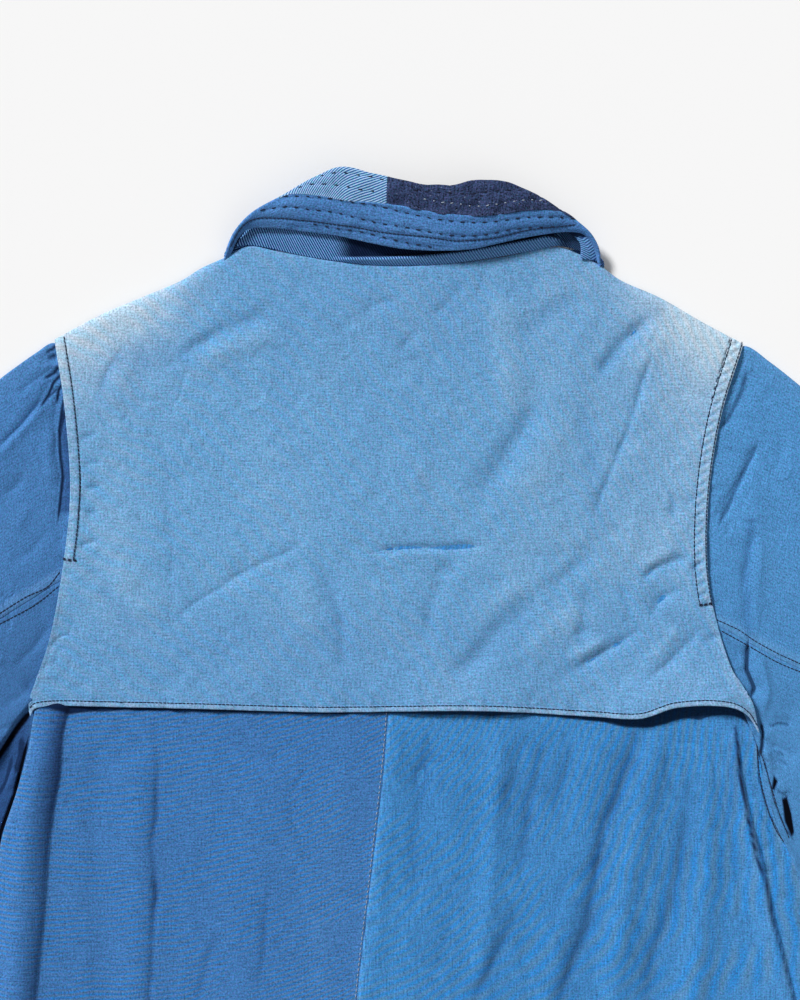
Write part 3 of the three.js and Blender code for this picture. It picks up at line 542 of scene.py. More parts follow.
# Creases that run out from the armholes: line, width, height, ends
SLEEVE_SHARP = {
    "left": [
        ([(-219, -55), (-228, -58), (-236, -62)], 1.7, -1.0, 0.3),
        ([(-219, -62), (-235, -72), (-250, -83)], 1.9, -1.3, 0.3),
        ([(-219, -66), (-225, -75.8), (-231, -86), (-244, -101.5), (-262, -121)], 2.3, -2.4, 0.2),
        ([(-224, -82), (-232, -92), (-246, -107), (-262, -125)], 3.0, 1.5, 0.25),
        ([(-217.5, -76), (-221, -90), (-222, -106), (-221.5, -121), (-219.5, -136), (-221, -152),
          (-224, -172)], 1.5, -2.8, 0.15),
        ([(-227, -100), (-228, -122), (-227, -146)], 3.0, 1.2, 0.3),
        ([(-216, -150), (-219, -168), (-222, -184)], 2.0, -1.2, 0.35),
        ([(-240, -132), (-259, -151)], 3.0, -1.0, 0.4),
        ([(-226, -170), (-240, -186), (-256, -196)], 3.0, -0.9, 0.35),
        ([(-238, -150), (-252, -176)], 4.0, 0.9, 0.4),
        ([(-224, -228), (-238, -246), (-256, -262)], 3.0, -1.1, 0.35),
        ([(-234, -262), (-248, -280), (-262, -290)], 3.0, -1.2, 0.35),
        ([(-240, -290), (-252, -300), (-266, -304)], 2.6, -1.2, 0.35),
    ],
    "right": [
        ([(222, -57), (226.5, -68), (220, -87), (210, -105)], 2.1, -2.9, 0.25),
        ([(235, -112), (226, -132), (216.5, -151), (208, -170)], 2.0, -3.0, 0.2),
        ([(235, -90), (244, -77)], 2.4, -0.8, 0.4),
        ([(230, -168), (227.5, -190), (225, -212), (227.5, -240)], 3.4, -2.3, 0.2),
        ([(236, -170), (233.5, -212), (235, -240)], 4.0, 1.2, 0.25),
        ([(254, -106), (246, -138)], 3.6, -0.9, 0.4),
        ([(214, -180), (224, -200), (240, -214)], 3.0, -0.8, 0.35),
        ([(227.5, -244), (227, -262), (232, -274), (229, -284)], 2.2, -2.9, 0.2),
        ([(234, -246), (237, -262), (240, -277), (238, -292)], 2.6, 1.8, 0.25),
        ([(216, -240), (221, -250), (224, -258)], 1.6, -1.4, 0.35),
        ([(243, -292), (250, -296), (262, -297)], 2.2, -1.2, 0.35),
        ([(240, -316), (246, -312), (255, -316), (260, -322)], 1.5, -1.4, 0.3),
        ([(240, -322), (248, -319), (254, -325)], 1.3, -1.2, 0.3),
        ([(262, -270), (256, -296), (262, -330)], 5.0, -0.9, 0.3),
        ([(244, -336), (251, -338), (256, -344)], 2.0, 1.3, 0.3),
    ],
}

# The sleeves' slow folds: line, width, height
SLEEVE_RIDGES = {
    "left": [
        ([(-264, -312), (-300, -348), (-360, -410), (-430, -470)], 15, 3),
        ([(-245, -330), (-290, -378), (-350, -425)], 9, -1.2),
        ([(-240, -90), (-300, -160), (-370, -230)], 16, 1.6),
        ([(-300, -230), (-380, -310), (-450, -400)], 16, 1.5),
        ([(-480, -360), (-540, -450), (-570, -500)], 16, 1.5),
    ],
    "right": [
        ([(226, -90), (232, -160), (225, -215)], 9, 1.2),
        ([(250, -330), (300, -352), (370, -410)], 14, 2.6),
        ([(262, -130), (320, -180), (380, -240)], 16, 1.6),
        ([(300, -230), (380, -310), (450, -400)], 16, 1.5),
        ([(480, -360), (540, -450), (570, -500)], 16, 1.5),
    ],
}

cloth_noise = Rumple(seed=11)
patch_noise = Rumple(seed=29)


def creased(x, y, soft, sharp=()):
    """Ridges and creases that wander a little and are uneven along their lines, as folds in cloth are."""
    wander_x = x + 1.2 * cloth_noise.one(x, y, 26) + 0.3 * patch_noise.one(x, y, 9)
    wander_y = y + 1.2 * patch_noise.one(x, y, 28) + 0.3 * cloth_noise.one(x, y, 8)
    total = np.zeros(np.shape(x))
    for line, width, height, ends in soft:
        total += ridge(wander_x, wander_y, line, width, height, ends)
    for line, width, height, ends in sharp:
        total += pinch(wander_x, wander_y, line, width, height, ends)
    return total * (0.95 + 0.2 * patch_noise.one(x, y, 16))


def crumple(x, y, wavelength, sharpness=0.10, lean=0.0, stretch=1.0):
    """A web of faint sharp creases where slow noise crosses zero, some of them raised and some sunk."""
    along = (x * math.cos(lean) + y * math.sin(lean)) / stretch
    across = -x * math.sin(lean) + y * math.cos(lean)
    crossing = cloth_noise.one(along, across, wavelength)
    crossing = crossing + 0.35 * patch_noise.one(along, across, wavelength / 3)
    sway = patch_noise.one(along, across, wavelength * 1.3)
    return np.exp(-((crossing / sharpness) ** 2)) * sway


def distance_along_rows(grid):
    """How far each point lies from its row's start and end, along the row."""
    steps = np.linalg.norm(np.diff(grid, axis=1), axis=2)
    start = np.concatenate([np.zeros((len(grid), 1)), np.cumsum(steps, axis=1)], axis=1)
    return start, start[:, -1:] - start


def distance_along_columns(grid):
    """How far each point lies from its column's top and bottom, along the column."""
    start, end = distance_along_rows(np.swapaxes(grid, 0, 1))
    return start.T, end.T


# ---- Turning a grid of points into a closed shell of cloth with round edges ----


def grid_normals(grid):
    along = np.gradient(grid, axis=0)
    across = np.gradient(grid, axis=1)
    normal = np.cross(across, along)
    return normal / np.maximum(np.linalg.norm(normal, axis=2, keepdims=True), 1e-9)


def boundary(n, m):
    """The grid's outer points in order, each with the point just inside it."""
    ring = [(0, j) for j in range(m)] + [(i, m - 1) for i in range(1, n)]
    ring += [(n - 1, j) for j in range(m - 2, -1, -1)] + [(i, 0) for i in range(n - 2, 0, -1)]
    inside = [(min(max(i, 1), n - 2), min(max(j, 1), m - 2)) for i, j in ring]
    return np.array(ring), np.array(inside)


def even_steps(count):
    """Which rows or columns to keep so that the count of steps between them is even."""
    kept = np.arange(count)
    return np.delete(kept, -2) if count % 2 == 0 else kept


RIM_BULGE = 0.8  # how round the cloth's edges are, 1 for a half circle


class Piece:
    """One cut piece of cloth as it lies: its middle surface, its normals, and the mesh made from them."""

    def __init__(self, name, grid, face_up=True):
        self.name = name
        self.grid = grid
        self.normals = grid_normals(grid)
        if face_up and self.normals[..., 2].mean() < 0:
            self.normals = -self.normals
        self.values = {"fade": 0.0, "dark_tone_and_shade": 0.0}
        self.uv = (grid[..., :2] * MM).copy()

    def run_weave(self, along, across):
        """Lays the weave by distances measured over the cloth, and not by where the cloth lies."""
        self.uv[..., 0] = np.broadcast_to(along, self.uv.shape[:2]) * MM
        self.uv[..., 1] = across * MM

    def shell(self, thickness):
        """Both faces of the cloth, the under one half as fine, and a round rim between them."""
        rows, columns = even_steps(self.grid.shape[0]), even_steps(self.grid.shape[1])
        grid, normals = self.grid[rows][:, columns], self.normals[rows][:, columns]
        shape = self.grid.shape[:2]
        kept = (np.arange(shape[0] * shape[1]).reshape(shape))[rows][:, columns].ravel()
        n, m = grid.shape[:2]
        half = thickness / 2
        ring, inside = boundary(n, m)
        edge, edge_normal = grid[ring[:, 0], ring[:, 1]], normals[ring[:, 0], ring[:, 1]]
        outward = edge - grid[inside[:, 0], inside[:, 1]]
        outward -= (outward * edge_normal).sum(1, keepdims=True) * edge_normal
        outward /= np.maximum(np.linalg.norm(outward, axis=1, keepdims=True), 1e-9)
        index = np.arange(n * m).reshape(n, m)
        coarse = index[::2, ::2]
        low_grid, low_normals = grid[::2, ::2], normals[::2, ::2]
        rims = [
            edge + outward * half * RIM_BULGE * math.cos(a) + edge_normal * half * math.sin(a)
            for a in np.radians([45, 0, -45])
        ]
        upper, under = grid + normals * half, low_grid - low_normals * half
        points = np.vstack([upper.reshape(-1, 3), under.reshape(-1, 3), *rims])
        around = index[ring[:, 0], ring[:, 1]]
        source = np.concatenate([index.ravel(), coarse.ravel(), *[around] * len(rims)])

        def cells(table):
            corners = [table[:-1, :-1], table[:-1, 1:], table[1:, 1:], table[1:, :-1]]
            return np.stack(corners, -1).reshape(-1, 4)

        low_index = n * m + np.arange(coarse.size).reshape(coarse.shape)
        low_ring, _ = boundary(*coarse.shape)
        low_around = np.repeat(low_index[low_ring[:, 0], low_ring[:, 1]], 2)
        first_rim = n * m + coarse.size
        rim_indexes = [first_rim + k * len(ring) + np.arange(len(ring)) for k in range(len(rims))]
        levels = [around, *rim_indexes, low_around]
        pairs = zip(levels[:-1], levels[1:])
        walls = [np.stack([np.roll(a, -1), a, b, np.roll(b, -1)], axis=-1) for a, b in pairs]
        faces = np.vstack([cells(index), cells(low_index)[:, ::-1], *walls])
        corner = points[faces]
        volume = np.einsum("ij,ij->i", corner[:, 0], np.cross(corner[:, 1], corner[:, 2])).sum()
        volume += np.einsum("ij,ij->i", corner[:, 0], np.cross(corner[:, 2], corner[:, 3])).sum()
        if volume < 0:
            faces = faces[:, ::-1]
        return self._mesh(points, faces, kept[source])

    def _mesh(self, points, faces, source):
        polygons = [list(dict.fromkeys(face)) for face in faces.tolist()]
        mesh = bpy.data.meshes.new(self.name)
        mesh.from_pydata(((points + ORIGIN) * MM).tolist(), [], polygons)
        mesh.polygons.foreach_set("use_smooth", np.ones(len(mesh.polygons), bool))
        corner_points = np.empty(len(mesh.loops), np.int32)
        mesh.loops.foreach_get("vertex_index", corner_points)
        layer = mesh.uv_layers.new(name="Cloth")
        flat_uv = self.uv.reshape(-1, 2)[source]
        layer.data.foreach_set("uv", flat_uv[corner_points].astype(np.float32).ravel())
        for name, value in self.values.items():
            attribute = mesh.attributes.new(name, "FLOAT", "POINT")
            flat = np.broadcast_to(value, self.grid.shape[:2]).reshape(-1)[source]
            attribute.data.foreach_set("value", flat.astype(np.float32))
        mesh.validate()
        obj = bpy.data.objects.new(self.name, mesh)
        bpy.context.scene.collection.objects.link(obj)
        return obj

    def inset(self, edge, distance, lift, first=0.0, last=1.0):
        """A line a distance inside one edge (top, bottom, left or right), standing proud of the cloth."""
        grid, normals = self.grid, self.normals
        if edge in ("left", "right"):
            grid, normals = np.swapaxes(grid, 0, 1), np.swapaxes(normals, 0, 1)
        if edge in ("bottom", "right"):
            grid, normals = grid[::-1], normals[::-1]
        travel, _ = distance_along_columns(grid)
        line = []
        columns = range(int(first * (grid.shape[1] - 1)), int(last * (grid.shape[1] - 1)) + 1)
        for j in columns:
            k = int(np.searchsorted(travel[:, j], distance))
            k = min(max(k, 1), len(grid) - 1)
            share = (distance - travel[k - 1, j]) / max(travel[k, j] - travel[k - 1, j], 1e-9)
            point = mix(grid[k - 1, j], grid[k, j], share)
            line.append(point + mix(normals[k - 1, j], normals[k, j], share) * lift)
        return np.array(line)


# ---- The pieces ----


def low_edge(x, y):
    """The height of the back's edge where it is sewn to what lies beside it."""
    return REST_Z - SEAM_DIP + collar_rise(x, y)


def back_piece(side):
    outer = ARMHOLE_TO_HEM[side]
    out = SIGN[side]
    shoulder = [(x - out * 2, y - 9) for x, y in SHOULDER[side]]
    neck = [(x, y - 7) for x, y in NECK_SEAM if x * out > 20 and abs(x) < 110]
    neck = neck[::-1] if side == "left" else neck
    middle = [(x + out * SEAM / 2, y) for x, y in CENTRE_BACK]
    s = spaced(270, fine=1.0, reach=8, coarse=1.7)
    # Rows are close where folds meet the flap's hem, and wide where the flap hides them.
    hidden = np.linspace(0, 0.32, 20, endpoint=False)
    near_flap = np.linspace(0.32, 0.42, 88, endpoint=False)
    shown = np.linspace(0.42, 0.66, 102, endpoint=False)
    t = np.concatenate([hidden, near_flap, shown, np.linspace(0.66, 0.985, 42), [0.99, 0.995, 1.0]])
    grid = filled(
        Line([middle[0], *neck, *shoulder[:-1], outer[0]]),
        Line([middle[-1], outer[-1]]),
        Line(middle),
        Line(outer),
        s,
        t,
    )
    x, y = grid[..., 0], grid[..., 1]
    from_middle, from_side = distance_along_rows(grid)
    from_top, from_hem = distance_along_columns(grid)
    bare = smoothstep(-y, 288, 330)
    near = smoothstep(-y, 284, 300)
    folds = sum(ridge(x, y, line, width, height) for line, width, height in BACK_RIDGES)
    sharp = creased(x, y, (), BACK_CREASES)
    edges = sum(step(x, y, *fold) for fold in BACK_STEPS)
    fold_shown = smoothstep(-y, 280, 287)
    left_fold = fold_shown * flank(x, y, LEFT_FOLD, 3.4, 3.6, 22, 0.02)
    lively = BACK_LIVELINESS[side]
    drape = 0.5 * cloth_noise(x, y, 60, 3, lean=math.pi / 2, stretch=3.5)
    drape += lively * 0.42 * patch_noise(x, y, 15, 2, lean=math.pi / 2 + 0.25, stretch=3.2)
    drape += lively * 0.55 * crumple(x, y, 34, lean=math.pi / 2 + 0.3, stretch=2.2) + 0.2 * crumple(x, y, 22)
    ripples = 0.16 * np.sin(TURN * (y * 0.8 + x * 0.6 + 4 * patch_noise.one(x, y, 20)) / 6.5)
    drape += 1.3 * lively * ripples * np.exp(-(((x + y * 0.06 - 6) / 24) ** 2))
    full = rest_height(x) + bare * (folds + drape) + near * (sharp + edges) + left_fold
    side_edge = mix(full, REST_Z - SEAM_DIP, (1 - roll(from_side, 14)) * smoothstep(-y, 300, 400))
    at_shoulder = mix(low_edge(x, y), side_edge, roll(from_top, 16))
    reach = smoothstep(np.abs(x - NECK_MIDDLE), COLLAR_REACH - 5, COLLAR_REACH + 15)
    height = mix(side_edge, at_shoulder, reach)
    seam_groove = -0.5 * np.exp(-((from_middle / 0.9) ** 2))
    if side == "right":
        seam_groove = seam_groove + 0.3 * (1 - smoothstep(from_middle, 9, 12)) * smoothstep(from_middle, 0, 2)
    hem_band = 0.35 * (1 - smoothstep(from_hem, 21, 23))
    grid[..., 2] = height + seam_groove + hem_band
    piece = Piece(f"back_{side}_cloth", grid)
    # Paler along the middle seam and at the side edge, and on the raised sides of the creases and steps,
    # where it is painted light
    piece.values["fade"] = np.clip(
        0.12 * np.exp(-((from_middle / 2.0) ** 2))
        + 0.25 * (1 - smoothstep(from_side, 0, 4))
        + 0.10 * np.clip(sharp + edges, 0, 1),
        0,
        1,
    )
    # Painted shade under the flap's hem, and in thin lines along the rolled seams
    flap_edge = Line(YOKE_HEM).at(np.linspace(0, 1, 160))
    below, _ = from_line(x, y, flap_edge)
    reach = np.interp(x, *zip(*FLAP_SHADE))
    reach = reach * (1 + 0.12 * patch_noise.one(x, y * 0.2, 14))
    painted_shade = (1 - smoothstep(-below, reach - 0.5, reach + 0.5)) * smoothstep(-below, -6, -4)
    painted_shade = FLAP_DARKNESS[side] * painted_shade
    for line, width, darkness in BACK_STREAKS[side]:
        painted_shade = np.maximum(painted_shade, darkness * streak(x, y, line, width, 0.4))
    piece.values["painted_shade"] = painted_shade
    # Painted shade in the creases, on the shaded sides of the larger folds, and on the dark flank of the long
    # left fold
    shaded = sum(darkness * beside(x, y, line, width) for line, width, darkness in BACK_FLANKS[side])
    across_fold, along_fold = from_line(x, y, LEFT_FOLD)
    flank_shade = np.exp(-((np.minimum(across_fold, 0) / 11) ** 2)) * (1 - smoothstep(across_fold, -0.4, 0.8))
    flank_shade *= along_fold < 0.98
    flank_shade *= fold_shown * (0.36 + 0.44 * (1 - smoothstep(-y, 330, 420)))
    piece.values["dark_tone_and_shade"] = np.clip(-0.2 * sharp + shaded * near + flank_shade, 0, 1)
    return piece


def yoke_piece():
    top = Line([*SHOULDER["left"][:0:-1], *NECK_SEAM, *SHOULDER["right"][1:]])
    s = spaced(476, fine=0.8, reach=9, coarse=1.45)
    t = spaced(262, fine=0.7, reach=7, coarse=1.3)
    grid = filled(top, Line(YOKE_HEM), Line(YOKE_SIDE["left"]), Line(YOKE_SIDE["right"]), s, t)
    x, y = grid[..., 0], grid[..., 1]
    edges = {side: Line(YOKE_SIDE[side]).at(np.linspace(0, 1, 60)) for side in SIDES}
    from_edge = {side: np.abs(from_line(x, y, edges[side])[0]) for side in SIDES}
    from_top, from_hem = distance_along_columns(grid)
    s_row = np.broadcast_to(s, x.shape)
    lifts = sum(ridge(x, y, line, width, height) for line, width, height in YOKE_LIFTS)
    folds = creased(x, y, YOKE_SOFT, YOKE_SHARP)
    calm = smoothstep(from_top, 4, 26)
    rumple = 0.42 * cloth_noise(x, y, 70, 3) + 0.17 * patch_noise(x, y, 13, 3, lean=0.9, stretch=1.6)
    rumple += 0.28 * crumple(x, y, 30) + 0.24 * crumple(x + 90, y - 40, 46, 0.07, lean=0.8, stretch=1.6)
    lively = 0.95 + 0.16 * smoothstep(x, 60, 120) * smoothstep(-y, 150, 200)
    full = rest_height(x) + YOKE_RISE + lifts * smoothstep(-y, 190, 290) + calm * (lively * folds + rumple)
    neck = smoothstep(s_row, 0.228, 0.288) * (1 - smoothstep(s_row, 0.746, 0.806))
    at_shoulder = mix(low_edge(x, y), full, roll(from_top, 9))
    at_neck = full - 0.8 * (1 - roll(from_top, 8))
    height = mix(at_shoulder, at_neck, neck)
    # The felled armhole edges are one layer thicker, drawn in by their stitches.
    held = {"left": smoothstep(y, -193, -188), "right": smoothstep(y, -221, -216)}
    puckered = np.zeros(x.shape)
    for side, distance in from_edge.items():
        lean, rise, fading_share = PUCKERS[side]
        inset = FLAP_STITCH_INSET[side]
        strip = 1 - smoothstep(distance, inset - 0.6, inset + 0.9)
        pucker = np.sin(TURN * (y + lean * distance) / 6.5) * smoothstep(distance, 0.5, 3)
        puckered = puckered + held[side] * strip * pucker * fading_share
        groove = np.exp(-(((distance - inset) / 0.9) ** 2))
        height += held[side] * (strip * (0.45 + rise * pucker) - 0.4 * groove)
        height += (1 - held[side]) * 0.3 * (1 - smoothstep(distance, 1.2, 2.6))
    # The hem is turned twice and stitched.
    hem = 1 - smoothstep(from_hem, HEM_STITCH_INSET - 0.2, HEM_STITCH_INSET + 0.8)
    pucker = patch_noise(x, y * 0.2, 7, 2)
    height += hem * 0.5 - 0.35 * np.exp(-(((from_hem - HEM_STITCH_INSET) / 0.8) ** 2))
    height += 0.34 * pucker * np.exp(-((from_hem / 10) ** 2))
    height += 0.18 * patch_noise(x, y * 0.25, 6, 2) * neck * np.exp(-((from_top / 9) ** 2))
    grid[..., 2] = height
    piece = Piece("back_yoke_cloth", grid)
    shoulder = np.exp(-((from_top / 26) ** 2)) * (1 - neck) * smoothstep(np.abs(x - NECK_MIDDLE), 112, 180)
    corner = np.exp(-(((np.abs(x - 4) - 196) / 40) ** 2)) * np.exp(-((from_top / 60) ** 2))
    # Paler on the folds' crests and, further down, darker in their troughs: painted light and shade
    piece.values["fade"] = np.clip(
        (0.56 - 0.07 * smoothstep(x, -20, 20)) * shoulder
        + 0.38 * corner
        + 0.14 * smoothstep(x, 40, 200) * (1 - 0.8 * smoothstep(-y, 170, 240))
        + 0.32 * (1 - smoothstep(from_hem, 1.6, 3.6))
        + 0.10 * np.clip(folds, -1, 1)
        + 0.16 * (1 - smoothstep(np.minimum(from_edge["left"], from_edge["right"]), 1.5, 7.5))
        + 0.16 * puckered,
        0,
        1,
    )
    # Painted shade on the inner side of the fold off the left shoulder
    edge, _ = from_line(x, y, SHOULDER_FOLD)
    tucked = smoothstep(edge, -1.5, 2.5) * np.exp(-((np.maximum(edge, 0) / 26) ** 2))
    tucked *= smoothstep(-y, 38, 56) * (1 - smoothstep(-y, 84, 120))
    piece.values["fade"] -= 0.2 * tucked * piece.values["fade"]
    piece.values["dark_tone_and_shade"] = np.clip(
        0.14 * tucked
        - 0.12 * np.clip(folds, -1.0, 1.5)
        + 0.22 * (1 - smoothstep(-y, 20, 90)) * np.exp(-((x / 120) ** 2))
        + 0.10 * np.exp(-(((x + 70) / 90) ** 2)) * smoothstep(-y, 215, 240)
        + sum(darkness * beside(x, y, line, width) for line, width, darkness in YOKE_TONES)
        + 0.22 * smoothstep(-y, 190, 250) * (1 - 0.3 * smoothstep(x, -60, 60)),
        0,
        1,
    )
    return piece


# The front's neck edge, from the shoulder round to the middle
FRONT_NECK = {
    "left": [(-115, 1), (-111, -5), (-98, -17), (-72, -48), (-40, -71), (FRONT_OVERLAP, -NECK_DROP - 3)],
    "right": [(132, -5), (127, -11), (111, -22), (78, -50), (41, -71), (-FRONT_OVERLAP, -NECK_DROP - 3)],
}


def front_piece(side):
    outer = ARMHOLE_TO_HEM[side]
    edge = -SIGN[side] * FRONT_OVERLAP
    neck = FRONT_NECK[side]
    shoulder = [(x, y - 1.5) for x, y in SHOULDER[side][1:]]
    grid = filled(
        Line([*neck[::-1], *shoulder[:-1], outer[0]]),
        Line([(edge, -BACK_LENGTH), outer[-1]]),
        Line([neck[-1], (edge, -BACK_LENGTH)]),
        Line(outer),
        spaced(280, fine=2.5, reach=60, coarse=9),
        spaced(700, fine=3, reach=12, coarse=7),
    )
    x, y = grid[..., 0], grid[..., 1]
    rise = BUTTON_THICKNESS + LAYER_GAP + (CLOTH + LAYER_GAP if side == "right" else 0)
    over_buttons = rise * smoothstep(x * -SIGN[side], -45, -FRONT_OVERLAP)
    grid[..., 2] = HALF + np.maximum(over_buttons, collar_rise(x, y))
    piece = Piece(f"front_{side}_cloth", grid)
    from_edge, from_side = distance_along_rows(grid)
    piece.values["fade"] = 0.3 * np.exp(-((np.minimum(from_edge, from_side) / 3) ** 2))
    return piece


def sleeve_lines(side):
    shift = SIGN[side] * SEAM * 1.4
    armhole = [(x + shift, y) for x, y in ARMHOLE_TO_HEM[side][: UNDERARM_KNOT[side] + 1]]
    below = armhole[SEAM_KNOT[side] :]
    seam = [armhole[SEAM_KNOT[side]], *SLEEVE_SEAM[side]]
    return {
        "above": Line(armhole[: SEAM_KNOT[side] + 1]),
        "below": Line([(below[0][0], below[0][1] - SEAM), *below[1:]]),
        "whole": Line(armhole),
        "outer": Line([armhole[0], *SLEEVE_OUTER[side]]),
        "inner": Line([armhole[-1], *SLEEVE_INNER[side]]),
        "seam": Line(seam),
        "seam_lower": Line([(x, y - SEAM) for x, y in seam]),
    }


# Where a sleeve laps over itself under the arm: line, width, height, reach, ends
SLEEVE_STEPS = {
    "left": [
        ([(-236, -280), (-240.7, -285), (-248.7, -295.2), (-255.8, -305.9), (-263, -317), (-278, -338)],
         0.8, -3.2, 12, 0.05),
        ([(-246, -312), (-252, -326), (-258, -342)], 1.6, 1.8, 6, 0.2),
    ],
    "right": [
        ([(234, -300), (237, -316), (240, -322), (242, -330)], 1.2, 1.8, 8, 0.2),
    ],
}
# Painted shade: dark gaps along the armholes, and the shade in the folds beside them: line, half width, how
# dark
SLEEVE_STREAKS = {
    "left": [
        ([(-239, -286), (-241.5, -291), (-248.5, -300), (-256, -311), (-262, -320), (-276, -342)], 2.0, 1.0),
        ([(-241.5, -305), (-243.6, -314), (-250.6, -343), (-259.8, -368), (-264, -390)], 1.5, 1.0),
        ([(-246, -306), (-246.5, -318), (-250, -330)], 2.0, 0.6),
        ([(-252, -318), (-256, -334), (-262, -346)], 1.2, 0.5),
        ([(-217.9, -80), (-221.5, -106), (-221, -121), (-219.3, -136), (-220.8, -151.4), (-223, -168)],
         1.0, 0.9),
        ([(-222, -78), (-228, -84), (-233, -91)], 0.8, 0.6),
        ([(-222.4, -50), (-230.6, -56.2)], 0.8, 0.85),
        ([(-220.9, -54), (-229.6, -60.4)], 0.8, 0.85),
        ([(-220, -63.4), (-225.1, -68.6), (-231.6, -72.4)], 0.9, 0.9),
        ([(-218.8, -68), (-225.1, -74.4), (-228.6, -82.9), (-234, -91.6)], 0.9, 0.9),
        ([(-217.4, -72.4), (-221.9, -79.6), (-223.4, -88.4)], 0.9, 0.95),
        ([(-217, -92), (-220.6, -104), (-221.4, -112)], 1.4, 0.7),
    ],
    "right": [
        ([(227.5, -243), (226.6, -262), (231.5, -274), (229, -281)], 1.6, 0.7),
        ([(235.8, -296), (237.4, -303), (236.8, -312), (235.4, -319)], 1.3, 0.85),
        ([(241, -299), (247, -297), (255, -298)], 0.8, 0.5),
        ([(237.5, -318), (244.5, -347), (252, -366), (258, -374)], 0.5, 0.75),
        ([(246, -340), (250, -343), (254, -341)], 0.5, 0.6),
        ([(240.5, -318), (245, -315), (252, -318)], 0.4, 0.5),
        ([(241, -325), (247, -321), (255, -325)], 0.4, 0.45),
        ([(227, -66), (223.5, -80), (217, -94), (210, -106)], 1.3, 0.42),
        ([(234.5, -113), (225.5, -132), (216.5, -151), (208, -169)], 1.5, 0.38),
    ],
}
# Openings at the right underarm, where the cloth stands apart, painted near black
SLEEVE_HOLES = {
    "left": [],
    "right": [
        [(244.4, -330.9), (247.4, -334.8), (245, -341.3), (243, -340)],
        [(249.6, -346.5), (253.2, -344.6), (256.2, -355.9), (258, -368.3), (256, -371.4), (251.6, -361.2)],
    ],
}


def painted_shade_share(side, x, y):
    """How much painted shade each spot gets: 1 in an opening."""
    share = np.zeros(np.shape(x))
    for line, width, darkness in SLEEVE_STREAKS[side]:
        share = np.maximum(share, darkness * streak(x, y, line, width))
    for outline in SLEEVE_HOLES[side]:
        share = np.maximum(share, within(x, y, outline))
    return share


def low_sleeve_shade(side, y):
    return LOW_SLEEVE_SHADE[side] * smoothstep(-y, 170, 300)


def sleeve_height(side, x, y, across, along):
    """across and along are shares of the sleeve's width and length."""
    folds = sum(ridge(x, y, line, width, height) for line, width, height in SLEEVE_RIDGES[side])
    away = smoothstep(along, 0, 0.12)
    sharp = creased(x, y, (), SLEEVE_SHARP[side]) * smoothstep(along, 0, 0.012)
    rumple = 0.45 * cloth_noise(x, y, 34, 3, lean=-0.9 * SIGN[side], stretch=2.2) * smoothstep(along, 0, 0.03)
    gathers = patch_noise(x * 0.3, y, 7, 2) * np.exp(-((along / 0.035) ** 2)) * smoothstep(along, 0, 0.004)
    laps = sum(step(x, y, *lap) for lap in SLEEVE_STEPS[side])
    pleats = np.sin(TURN * (y - 0.6 * SIGN[side] * -x) / 3.6 + 2 * patch_noise.one(x, y, 9))
    pleats *= smoothstep(y, -98, -74) * np.exp(-((along / 0.028) ** 2)) * PLEATS[side]
    openings = -3.5 * np.clip(painted_shade_share(side, x, y) - 0.3, 0, 1)
    creases = sharp + rumple + 0.5 * gathers + 1.2 * pleats + laps + 0.4 * crumple(x, y, 24)
    height = rest_height(x) + away * (SLEEVE_LOFT * np.sin(math.pi * across) + folds) + creases + openings
    return np.maximum(height, HALF + CLOTH + 0.2)


# Steps along a sleeve, close near the armhole and wide towards the cuff
ARM_SHARES = np.concatenate([np.linspace(0, 0.12, 72, endpoint=False), np.linspace(0.12, 1, 60)])
# How the cloth turns under at the sleeve's outer edge: how far in, and how high
OUTER_TURNS = ((0.35, HALF + 1.5), (0.1, HALF + 1.15), (0.1, HALF + 0.7), (0.35, HALF + 0.3), (1.2, HALF))


# Where painted shade lies on the sleeves: the tuck beside the left armhole, the bay along the right one, and
# the low cloth under the left arm
LEFT_TUCK = [(-217, -78), (-221, -106), (-219, -136), (-221, -160), (-205, -160), (-205, -78)]
RIGHT_BAY = [(230, -165), (226, -200), (227.5, -240)]
LEFT_UNDERARM = [(-238, -288), (-262, -312), (-277, -332), (-279, -420), (-258, -400), (-243, -330)]


